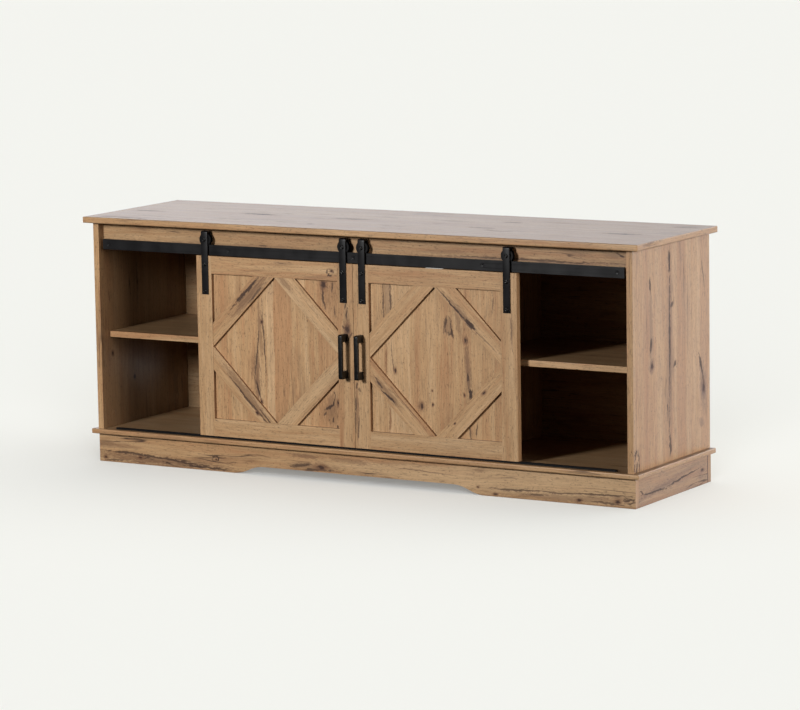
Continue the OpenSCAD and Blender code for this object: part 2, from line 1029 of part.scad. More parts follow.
on_right() left_door_inner_wheel();  // right_door_inner_wheel
right_door_lift_pad();
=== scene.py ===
import math

import bmesh
import bpy
from mathutils import Matrix, Vector


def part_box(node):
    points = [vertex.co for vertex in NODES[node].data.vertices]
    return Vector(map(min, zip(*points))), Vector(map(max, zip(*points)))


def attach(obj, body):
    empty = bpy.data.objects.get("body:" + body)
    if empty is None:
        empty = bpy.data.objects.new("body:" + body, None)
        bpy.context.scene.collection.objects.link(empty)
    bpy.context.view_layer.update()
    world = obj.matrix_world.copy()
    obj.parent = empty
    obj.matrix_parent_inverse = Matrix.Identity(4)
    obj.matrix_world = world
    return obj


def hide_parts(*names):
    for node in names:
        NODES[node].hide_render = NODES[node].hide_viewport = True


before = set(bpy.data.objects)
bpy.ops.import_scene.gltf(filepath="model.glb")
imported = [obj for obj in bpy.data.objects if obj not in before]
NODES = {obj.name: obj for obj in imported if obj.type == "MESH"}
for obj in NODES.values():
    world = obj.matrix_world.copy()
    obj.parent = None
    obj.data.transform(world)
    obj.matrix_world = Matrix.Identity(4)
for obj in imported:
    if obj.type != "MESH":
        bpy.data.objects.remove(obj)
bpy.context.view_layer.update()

# A low media cabinet in rustic oak decor, with two sliding doors on a black
# flat-bar track. Everything is in metres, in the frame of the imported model.
MM = 0.001

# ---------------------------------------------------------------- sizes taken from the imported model
FLOOR_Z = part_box("front_skirt")[0].z
DOOR_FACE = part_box("left_door_inner_stile")[0].y
PANEL_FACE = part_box("left_door_panel")[0].y
SKIRT_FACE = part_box("front_skirt")[0].y
FASCIA_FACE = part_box("fascia_board")[0].y
SIDE_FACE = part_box("right_side_panel")[1].x
SIDE_SKIRT_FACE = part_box("right_skirt")[1].x
TOP_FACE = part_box("top_board")[1].z
BASE_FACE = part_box("base_board")[1].z
SHELF_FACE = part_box("left_shelf")[1].z
DOOR_MIDDLE = (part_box("right_door_panel")[0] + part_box("right_door_panel")[1]) / 2

# ---------------------------------------------------------------- camera
CAMERA_AT = Vector((4.51687, -7.58302, 1.58572))
CAMERA_TURN, CAMERA_DIP, CAMERA_ROLL = (math.radians(a) for a in (30.687, 8.410, -0.930))
CAMERA_LENS = 169.28


def place_camera():
    """A long lens from the front right, a little above the top board."""
    ahead = Vector((-math.sin(CAMERA_TURN) * math.cos(CAMERA_DIP),
                    math.cos(CAMERA_TURN) * math.cos(CAMERA_DIP),
                    -math.sin(CAMERA_DIP)))
    level = Vector((math.cos(CAMERA_TURN), math.sin(CAMERA_TURN), 0))
    upright = level.cross(ahead)
    right = math.cos(CAMERA_ROLL) * level + math.sin(CAMERA_ROLL) * upright
    up = math.cos(CAMERA_ROLL) * upright - math.sin(CAMERA_ROLL) * level
    camera = bpy.data.objects.new("camera", bpy.data.cameras.new("camera"))
    camera.data.lens = CAMERA_LENS
    camera.data.clip_end = 200
    turn = Matrix((right, up, -ahead)).transposed()
    camera.matrix_world = Matrix.Translation(CAMERA_AT) @ turn.to_4x4()
    bpy.context.scene.collection.objects.link(camera)
    bpy.context.scene.camera = camera


place_camera()

# ---------------------------------------------------------------- node and colour helpers
MATH = "ShaderNodeMath"
VECTOR = "ShaderNodeVectorMath"
RANGE = "ShaderNodeMapRange"
MIX = "ShaderNodeMix"
NOISE = "ShaderNodeTexNoise"
COMBINE = "ShaderNodeCombineXYZ"
MIX_A, MIX_B, MIX_OUT = 6, 7, 2          # colour sockets of a Mix node
VEC_A, VEC_B, VEC_OUT = 4, 5, 1          # vector sockets of a Mix node
DOT_OUT = 1                              # the value socket of a Vector Math node
# a Map Range node's sockets are 0 value, 1 and 2 from, 3 and 4 to
SMOOTH = {"interpolation_type": "SMOOTHSTEP"}


def linear(code, scale=1.0):
    """An sRGB hex colour as linear RGBA."""
    parts = [int(code[i:i + 2], 16) / 255 for i in (1, 3, 5)]
    rgb = [c / 12.92 if c <= 0.04045 else ((c + 0.055) / 1.055) ** 2.4 for c in parts]
    return (*(c * scale for c in rgb), 1.0)


def add(tree, kind, inputs=None, out=0, **settings):
    """Adds a node with its settings and its inputs (values or sockets), and gives one output."""
    node = tree.nodes.new(kind)
    for name, value in settings.items():
        setattr(node, name, value)
    for key, value in (inputs or {}).items():
        if isinstance(value, bpy.types.NodeSocket):
            tree.links.new(value, node.inputs[key])
        else:
            node.inputs[key].default_value = value
    return node.outputs[out] if node.outputs else None


def start_material(name):
    """A new material with an empty node tree."""
    material = bpy.data.materials.new(name)
    material.use_nodes = True
    material.node_tree.nodes.clear()
    return material, material.node_tree


def new_material(started, shader_inputs, colour, rough, bump, bump_mm, bump_strength):
    """Closes a material's tree: colour, roughness and bump sockets go into one shader."""
    material, tree = started
    normal = add(tree, "ShaderNodeBump", {"Strength": bump_strength, "Distance": bump_mm * MM,
                                          "Height": bump})
    inputs = {"Base Color": colour, "Roughness": rough, "Normal": normal}
    inputs.update(shader_inputs)
    shader = add(tree, "ShaderNodeBsdfPrincipled", inputs)
    add(tree, "ShaderNodeOutputMaterial", {"Surface": shader})
    return material


# ---------------------------------------------------------------- oak decor
# Rustic oak decor: a printed and embossed paper foil pressed on particle board. The eye gets
# tan strips of uneven width, short dark pores along the grain, grey-brown stains, hairline
# cracks and a few knots, under a satin skin that mirrors the studio at a low angle.
OAK_DEEP = "#A3774F"
OAK_WARM = "#B0845C"
OAK_MID = "#BA946A"
OAK_PALE = "#C6A279"
OAK_LIGHT = "#CCAB83"
STAIN_GREY = "#7C5C43"
CRACK_DARK = "#382217"
BAND_BROWN = "#825A3A"
KNOT_CORE = "#3E2417"
KNOT_RING = "#6A4933"
# painted shade: the brown laid on the side faces of the door frame and the braces
KNOT_HALO = "#7E583D"
EDGE_SHADE_BROWN = "#6E4C31"
# the strips' colours, by tone
STRIP_STOPS = ((0.55, OAK_DEEP), (0.76, OAK_WARM), (0.95, OAK_MID), (1.14, OAK_PALE),
               (1.36, OAK_LIGHT))
PORE_MM = (15, 2.3)          # real pores are 0.3 mm wide; drawn coarser so that they show
FIBRE_MM = (64, 2.6)         # real fibres are finer still; drawn coarser so that they show
FLECK_MM = (5.5, 3.2)
STRIP_MM = 46
SLOW_MM, QUICK_MM, JITTER_MM = (520, 95), (95, 24), (14, 9)   # how the grain wanders
FRAY_MM = (11, 3.2)
DRIFT_MM, FIGURE_MM = (900, 26), (110, 8)
CLOUD_MM, RIDGE_MM, SPARSE_MM = (210, 46), (420, 26), (190, 55)
SLOW_WANDER, QUICK_WANDER = 26 * MM, 7 * MM    # of the grain, sideways
MARK_WANDER, MARK_JITTER = 12 * MM, 4.5 * MM   # of the placed marks, sideways
FRAY = 1.9                   # of the placed marks' outlines, in shares of their reach
STRIP_PART, STRIP_BASE, DRIFT_PART, FIGURE_PART = 0.26, 0.11, 0.85, 0.60   # of the tone
PORE_DEPTH, CRACK_DEPTH = 0.35, 1.0            # against the fibres' relief
EMBOSS_MM, EMBOSS_STRENGTH = 0.25, 0.35        # how deep the foil is pressed
FOIL_IOR = 1.48
RAGGED = {"loop": 0.6, "knot": 0.8}   # how frayed a mark's outline is, where it isn't 1
FULL_AT = {"crack": 0.5, "stain": 0.35, "warm": 0.86, "pale": 0.86, "brown": 0.45}
LOOP_RIM = 3.0               # a loop's rim is a third of its radius wide
DIAGONAL = 1 / math.sqrt(2)
FAR_SIDE = 1.0               # the two braces of a pair lie this far apart on the print, in metres
LEFT = FAR_SIDE * 1000       # the same in the millimetres of the mark tables
LEFT_SHEET = 5.3             # the left brace of a pair is cut from another sheet
END_SHEET = 0.5              # a board's two ends carry another sheet than its faces


def grain_layer(tree, place, along, across, detail=2.0, rough=0.5, twist=0.0):
    """Noise stretched along the grain, by its size in millimetres."""
    spot = add(tree, VECTOR, {0: place, 1: (1 / (along * MM), 1 / (across * MM), 1)},
               operation="MULTIPLY")
    return add(tree, NOISE, {"Vector": spot, "Scale": 1.0, "Detail": detail,
                             "Roughness": rough, "Distortion": twist})


def board_print(tree, origin, along, across, thick, seed):
    """Where a point lies on the print: along the grain, across it, and which sheet it is.
    The print wraps over the long edges; on the two ends it runs along the end instead."""
    coord = tree.nodes.new("ShaderNodeTexCoord")
    rel = add(tree, VECTOR, {0: coord.outputs["Object"], 1: origin}, operation="SUBTRACT")
    wrap = tuple(a + t for a, t in zip(across, thick))
    face_u, face_v, end_u, end_v = (
        add(tree, VECTOR, {0: rel, 1: way}, DOT_OUT, operation="DOT_PRODUCT")
        for way in (along, wrap, across, thick))
    facing = add(tree, VECTOR, {0: coord.outputs["Normal"], 1: along}, DOT_OUT,
                 operation="DOT_PRODUCT")
    steep = add(tree, MATH, {0: facing}, operation="ABSOLUTE")
    is_end = add(tree, MATH, {0: steep, 1: 0.7}, operation="GREATER_THAN")
    face = add(tree, COMBINE, {0: face_u, 1: face_v, 2: seed})
    end = add(tree, COMBINE, {0: end_u, 1: end_v, 2: seed + END_SHEET})
    return add(tree, MIX, {0: is_end, VEC_A: face, VEC_B: end}, VEC_OUT, data_type="VECTOR")


def brace_print(tree, origin, seed):
    """The print of the four braces round a door's middle, each along its own diagonal."""
    coord = tree.nodes.new("ShaderNodeTexCoord")
    rel = add(tree, VECTOR, {0: coord.outputs["Object"], 1: origin}, operation="SUBTRACT")
    folded = add(tree, VECTOR, {0: rel}, operation="ABSOLUTE")
    u = add(tree, VECTOR, {0: folded, 1: (-DIAGONAL, 0, DIAGONAL)}, DOT_OUT,
            operation="DOT_PRODUCT")
    v = add(tree, VECTOR, {0: folded, 1: (DIAGONAL, 0.5, DIAGONAL)}, DOT_OUT,
            operation="DOT_PRODUCT")
    x = add(tree, VECTOR, {0: rel, 1: (1, 0, 0)}, DOT_OUT, operation="DOT_PRODUCT")
    is_left = add(tree, MATH, {0: x, 1: 0.0}, operation="LESS_THAN")
    far = add(tree, MATH, {0: is_left, 1: FAR_SIDE, 2: u}, operation="MULTIPLY_ADD")
    sheet = add(tree, MATH, {0: is_left, 1: LEFT_SHEET, 2: seed}, operation="MULTIPLY_ADD")
    return add(tree, COMBINE, {0: far, 1: v, 2: sheet})


def each_mark(marks):
    """Goes through a board's marks, each with its kind."""
    for kind, placed in marks.items():
        for mark in placed:
            yield (kind, *mark)


def oak_decor(name, place_on, marks, tone=1.0, rustic=1.0, dark_foot=None, painted_shade=None,
              shade_painted_edges=False):
    """One sheet of the decor. marks are kind: (along, across, half length, half width, tilt,
    strength), in millimetres and degrees on the board's face. dark_foot is the height of its
    lower edge. Painted shade: faces that look one given way keep a given share of their tone,
    and the faces away from the front can be painted brown."""
    material, tree = start_material(name)
    coord = tree.nodes.new("ShaderNodeTexCoord").outputs
    place = place_on(tree)

    # the grain wanders, slowly and then finely
    slow = grain_layer(tree, place, *SLOW_MM)
    quick = grain_layer(tree, place, *QUICK_MM, 3)
    jitter = grain_layer(tree, place, *JITTER_MM, 3, 0.65)
    shift = add(tree, MATH, {0: slow, 1: SLOW_WANDER, 2: -SLOW_WANDER / 2},
                operation="MULTIPLY_ADD")
    shift = add(tree, MATH, {0: quick, 1: QUICK_WANDER, 2: shift}, operation="MULTIPLY_ADD")
    wobble = add(tree, MATH, {0: quick, 1: MARK_WANDER, 2: -MARK_WANDER / 2},
                 operation="MULTIPLY_ADD")
    wobble = add(tree, MATH, {0: jitter, 1: MARK_JITTER, 2: wobble}, operation="MULTIPLY_ADD")
    parts = add(tree, "ShaderNodeSeparateXYZ", {0: place})
    u = parts
    v = parts.node.outputs[1]
    sheet = parts.node.outputs[2]
    mark_v = add(tree, MATH, {0: v, 1: wobble}, operation="ADD")
    mark_at = add(tree, COMBINE, {0: u, 1: mark_v})
    ragged = grain_layer(tree, place, *FRAY_MM, 3, 0.7)
    ragged = add(tree, MATH, {0: ragged, 1: FRAY, 2: -FRAY / 2}, operation="MULTIPLY_ADD")
    broken = add(tree, RANGE, {0: jitter, 1: 0.40, 2: 0.56, 3: 0.15, 4: 1.0})

    # the placed marks: one field for each kind, and the distance to the nearest knot
    fields = {}
    knot_d = None
    for kind, m_u, m_v, half_l, half_w, tilt, strength in each_mark(marks):
        local = add(tree, "ShaderNodeMapping",
                    {"Vector": mark_at, "Location": (m_u * MM, m_v * MM, 0),
                     "Rotation": (0, 0, math.radians(tilt)),
                     "Scale": (half_l * MM, half_w * MM, 1)}, vector_type="TEXTURE")
        reach = add(tree, VECTOR, {0: local}, DOT_OUT, operation="LENGTH")
        if kind not in ("pale", "warm"):
            reach = add(tree, MATH, {0: ragged, 1: RAGGED.get(kind, 1.0), 2: reach},
                        operation="MULTIPLY_ADD")
        is_loop = kind == "loop"
        if is_loop:
            # a loop is a crack that runs round, and is broken in places
            rim = add(tree, MATH, {0: reach, 1: LOOP_RIM, 2: -LOOP_RIM}, operation="MULTIPLY_ADD")
            reach = add(tree, MATH, {0: rim}, operation="ABSOLUTE")
            kind = "crack"
        if kind == "knot":
            # the grain parts round a knot
            near = add(tree, RANGE, {0: reach, 1: 3.0, 2: 0.0, 3: 0.0, 4: 0.75 * half_w * MM},
                       **SMOOTH)
            side = add(tree, VECTOR, {0: local, 1: (0, -1, 0)}, DOT_OUT, operation="DOT_PRODUCT")
            shift = add(tree, MATH, {0: near, 1: side, 2: shift}, operation="MULTIPLY_ADD")
            knot_d = reach if knot_d is None else add(tree, MATH, {0: knot_d, 1: reach},
                                                      operation="MINIMUM")
            continue
        level = add(tree, RANGE, {0: reach, 1: 1.0, 2: FULL_AT[kind], 3: 0.0, 4: strength},
                    **SMOOTH)
        if is_loop:
            level = add(tree, MATH, {0: level, 1: broken}, operation="MULTIPLY")
        fields[kind] = level if kind not in fields else add(
            tree, MATH, {0: fields[kind], 1: level}, operation="MAXIMUM")

    grain_v = add(tree, MATH, {0: v, 1: shift}, operation="ADD")
    grain = add(tree, COMBINE, {0: u, 1: grain_v, 2: sheet})

    # strips of uneven width, with the tone drifting inside them, and the placed ones over them
    strip_at = add(tree, MATH, {0: grain_v, 1: 1 / (STRIP_MM * MM), 2: sheet},
                   operation="MULTIPLY_ADD")
    strip = add(tree, "ShaderNodeTexVoronoi", {"W": strip_at, "Scale": 1.0}, 1,
                voronoi_dimensions="1D")
    drift = grain_layer(tree, grain, *DRIFT_MM, 4, 0.6)
    figure = grain_layer(tree, grain, *FIGURE_MM, 4, 0.6, 0.4)
    blank = add(tree, MATH, {0: strip, 1: STRIP_PART, 2: STRIP_BASE}, operation="MULTIPLY_ADD")
    blank = add(tree, MATH, {0: drift, 1: DRIFT_PART, 2: blank}, operation="MULTIPLY_ADD")
    blank = add(tree, MATH, {0: figure, 1: FIGURE_PART, 2: blank}, operation="MULTIPLY_ADD")
    ramp = tree.nodes.new("ShaderNodeValToRGB")
    low, high = STRIP_STOPS[0][0], STRIP_STOPS[-1][0]
    while len(ramp.color_ramp.elements) < len(STRIP_STOPS):
        ramp.color_ramp.elements.new(0.5)
    for element, (at, code) in zip(ramp.color_ramp.elements, STRIP_STOPS):
        element.position = (at - low) / (high - low)
        element.color = linear(code, tone)
    tree.links.new(add(tree, RANGE, {0: blank, 1: low, 2: high}), ramp.inputs[0])
    colour = ramp.outputs[0]
    layers = [(fields[kind], linear(code, tone), "MIX") for kind, code in
              (("pale", OAK_LIGHT), ("warm", OAK_WARM), ("brown", BAND_BROWN)) if kind in fields]

    # fibres, pores and short flecks
    fibre = grain_layer(tree, grain, *FIBRE_MM, 4, 0.62)
    fibre_dark = add(tree, RANGE, {0: fibre, 1: 0.30, 2: 0.70, 3: 0.84, 4: 1.15})
    pore = grain_layer(tree, grain, *PORE_MM, 2, 0.5)
    pore_mark = add(tree, RANGE, {0: pore, 1: 0.56, 2: 0.72, 3: 0.0, 4: 1.0}, **SMOOTH)
    fleck = grain_layer(tree, grain, *FLECK_MM, 2, 0.6)
    fleck_mark = add(tree, RANGE, {0: fleck, 1: 0.59, 2: 0.72, 3: 0.0, 4: 1.0}, **SMOOTH)
    pore_mark = add(tree, MATH, {0: fleck_mark, 1: 1.2, 2: pore_mark}, operation="MULTIPLY_ADD")
    pore_dark = add(tree, MATH, {0: pore_mark, 1: -0.34, 2: fibre_dark}, operation="MULTIPLY_ADD")
    layers.append((1.0, pore_dark, "MULTIPLY"))

    # grey-brown stains: a loose one everywhere, and the placed ones
    cloud = grain_layer(tree, place, *CLOUD_MM, 4, 0.6)
    stain = add(tree, RANGE, {0: cloud, 1: 0.56, 2: 0.74, 3: 0.0, 4: min(0.6 * rustic, 0.9)},
                **SMOOTH)
    if "stain" in fields:
        patchy = add(tree, RANGE, {0: fibre, 1: 0.32, 2: 0.62, 3: 0.45, 4: 1.0})
        placed = add(tree, MATH, {0: fields["stain"], 1: patchy}, operation="MULTIPLY")
        stain = add(tree, MATH, {0: stain, 1: placed}, operation="MAXIMUM")
    layers.append((stain, linear(STAIN_GREY, tone), "MIX"))

    # hairline cracks: the places where a slow noise crosses its middle, in few spots
    ridge = grain_layer(tree, grain, *RIDGE_MM, 3, 0.5)
    from_middle = add(tree, MATH, {0: ridge, 1: 0.5}, operation="SUBTRACT")
    off = add(tree, MATH, {0: from_middle}, operation="ABSOLUTE")
    line = add(tree, RANGE, {0: off, 1: 0.020, 2: 0.002, 3: 0.0, 4: 1.0})
    sparse = grain_layer(tree, place, *SPARSE_MM, 2)
    open_at = 0.62 - 0.06 * rustic
    allowed = add(tree, RANGE, {0: sparse, 1: open_at, 2: open_at + 0.1, 3: 0.0,
                                4: min(0.75 * rustic, 0.9)})
    crack = add(tree, MATH, {0: line, 1: allowed}, operation="MULTIPLY")
    if "crack" in fields:
        crack = add(tree, MATH, {0: crack, 1: fields["crack"]}, operation="MAXIMUM")
    layers.append((crack, linear(CRACK_DARK), "MIX"))

    pits = crack
    if knot_d is not None:
        # a knot: a brown halo, growth rings and a dark core
        halo = add(tree, RANGE, {0: knot_d, 1: 1.8, 2: 0.8, 3: 0.0, 4: 0.6}, **SMOOTH)
        wave = add(tree, MATH, {0: knot_d, 1: 9.0, 2: jitter}, operation="MULTIPLY_ADD")
        wave = add(tree, MATH, {0: wave}, operation="SINE")
        fade = add(tree, RANGE, {0: knot_d, 1: 1.5, 2: 0.6, 3: 0.0, 4: 0.6})
        ring = add(tree, MATH, {0: wave, 1: fade}, operation="MULTIPLY", use_clamp=True)
        core = add(tree, RANGE, {0: knot_d, 1: 0.85, 2: 0.35, 3: 0.0, 4: 0.95}, **SMOOTH)
        layers += [(halo, linear(KNOT_HALO, tone), "MIX"), (ring, linear(KNOT_RING), "MIX"),
                   (core, linear(KNOT_CORE), "MIX")]
        pits = add(tree, MATH, {0: crack, 1: core}, operation="MAXIMUM")

    if shade_painted_edges:
        # painted shade: every face of the board that doesn't look to the front, the edges round the
        # door's recess among them, is painted brown, standing in for the shade they lie in
        frontal = add(tree, VECTOR, {0: coord["Normal"], 1: (0, -1, 0)}, DOT_OUT,
                      operation="DOT_PRODUCT")
        edge_shade_mask = add(tree, RANGE, {0: frontal, 1: 0.75, 2: 0.35, 3: 0.0, 4: 0.85})
        layers.append((edge_shade_mask, linear(EDGE_SHADE_BROWN), "MIX"))
    if painted_shade is not None:
        # painted shade: the faces that look the given way (the upper faces of the shelves, the base
        # and the top board, and the side panels' inner faces) are darkened to the given share of
        # their tone, standing in for the little light that reaches them
        facing, tone_left = painted_shade
        inward = add(tree, VECTOR, {0: coord["Normal"], 1: facing}, DOT_OUT,
                     operation="DOT_PRODUCT")
        painted_shade_share = add(tree, RANGE, {0: inward, 1: 0.6, 2: 0.9, 3: 1.0, 4: tone_left})
        layers.append((1.0, painted_shade_share, "MULTIPLY"))
    if dark_foot is not None:
        # the lowest few millimetres, down at the floor, are darker brown
        height = add(tree, VECTOR, {0: coord["Object"], 1: (0, 0, 1)}, DOT_OUT,
                     operation="DOT_PRODUCT")
        foot = add(tree, RANGE, {0: height, 1: dark_foot + 4.5 * MM, 2: dark_foot + 1.0 * MM,
                                 3: 0.0, 4: 0.6})
        layers.append((foot, linear(BAND_BROWN), "MIX"))

    for share, over, blend in layers:
        colour = add(tree, MIX, {0: share, MIX_A: colour, MIX_B: over}, MIX_OUT,
                     data_type="RGBA", blend_type=blend)

    # embossing: pores and cracks are pressed in, and are a little duller
    height = add(tree, MATH, {0: pore_mark, 1: -PORE_DEPTH, 2: fibre}, operation="MULTIPLY_ADD")
    height = add(tree, MATH, {0: pits, 1: -CRACK_DEPTH, 2: height}, operation="MULTIPLY_ADD")
    rough = add(tree, RANGE, {0: fibre, 1: 0.25, 2: 0.75, 3: 0.38, 4: 0.50})
    rough = add(tree, MATH, {0: pits, 1: 0.22, 2: rough}, operation="MULTIPLY_ADD")
    return new_material((material, tree), {"IOR": FOIL_IOR}, colour, rough, height,
                        EMBOSS_MM, EMBOSS_STRENGTH)


# ---------------------------------------------------------------- metals, nylon, felt
def plain_finish(name, darker, paler, patch, drift, rough, skin, relief, gloss):
    """A finish of one colour that drifts in patches, with a fine skin. patch and skin are noises
    by size in millimetres, detail, fray and twist; drift is the part of the patches' range that
    turns the colour, rough takes them to roughness, and relief is the skin's depth and strength."""
    material, tree = start_material(name)
    coord = tree.nodes.new("ShaderNodeTexCoord").outputs["Object"]
    cloud, grit = (add(tree, NOISE, {"Vector": coord, "Scale": 1 / (size * MM), "Detail": detail,
                                     "Roughness": fray, "Distortion": twist})
                   for size, detail, fray, twist in (patch, skin))
    share = add(tree, RANGE, {0: cloud, 1: drift[0], 2: drift[1]})
    colour = add(tree, MIX, {0: share, MIX_A: linear(darker), MIX_B: linear(paler)}, MIX_OUT,
                 data_type="RGBA")
    dull = add(tree, RANGE, {0: cloud, 1: rough[0], 2: rough[1], 3: rough[2], 4: rough[3]})
    return new_material((material, tree), gloss, colour, dull, grit, *relief)


# Steel in a satin black powder coat: charcoal, with a fine orange-peel skin that breaks the
# highlights up, and thinner, lighter paint where it was handled.
COAT = plain_finish("steel_satin_black_powder_coat", "#121112", "#191819", (38, 4, 0.5, 0),
                    (0.35, 0.65), (0.3, 0.7, 0.34, 0.44), (1.4, 2, 0.5, 0), (0.05, 0.5),
                    {"Specular IOR Level": 0.3})
# Bolts and pulls in blackened steel: almost pure black, smoother than the coat, with faint
# rubbed patches.
OXIDE = plain_finish("steel_black_oxide", "#080707", "#11100F", (7, 4, 0.5, 0),
                     (0, 1), (0.3, 0.7, 0.26, 0.42), (0.8, 2, 0.5, 0), (0.03, 0.4),
                     {"Specular IOR Level": 0.3})
# Injection-moulded black nylon: deep black, matt, with faint flow marks and a spark-eroded
# texture.
NYLON = plain_finish("moulded_black_nylon", "#0B0B0C", "#121213", (22, 2, 0.5, 1.5),
                     (0, 1), (0.3, 0.7, 0.46, 0.58), (0.9, 3, 0.5, 0), (0.04, 0.5),
                     {"Specular IOR Level": 0.15})
# Die-cast and turned parts in zinc plating, a little dulled: grey metal with cloudy blue-grey
# patches and fine scratches.
ZINC = plain_finish("steel_zinc_plated", "#7C8085", "#A6A9AB", (5, 4, 0.5, 0),
                    (0, 1), (0.3, 0.7, 0.30, 0.46), (0.5, 2, 0.5, 0), (0.02, 0.4),
                    {"Metallic": 1.0})
# Pressed pale felt: no gloss, a soft edge light, and loose fibres as a fine nap.
FELT = plain_finish("pressed_felt", "#C2BFB8", "#E6E4DE", (0.7, 5, 0.7, 0),
                    (0, 1), (0, 1, 0.86, 1.0), (0.7, 5, 0.7, 0), (0.3, 0.8),
                    {"Sheen Weight": 0.4})

# ---------------------------------------------------------------- boards: which sheet is on which
X, Y, Z = (1, 0, 0), (0, 1, 0), (0, 0, 1)
MINUS_X = (-1, 0, 0)


def on_face(origin, along, across, thick, seed):
    """Where a board's own print lies."""
    return lambda tree: board_print(tree, origin, along, across, thick, seed)


def on_brace(side, seed):
    """Where the print of a door's braces lies."""
    middle = Vector((DOOR_MIDDLE.x * side, DOOR_FACE, DOOR_MIDDLE.z))
    return lambda tree: brace_print(tree, middle, seed)
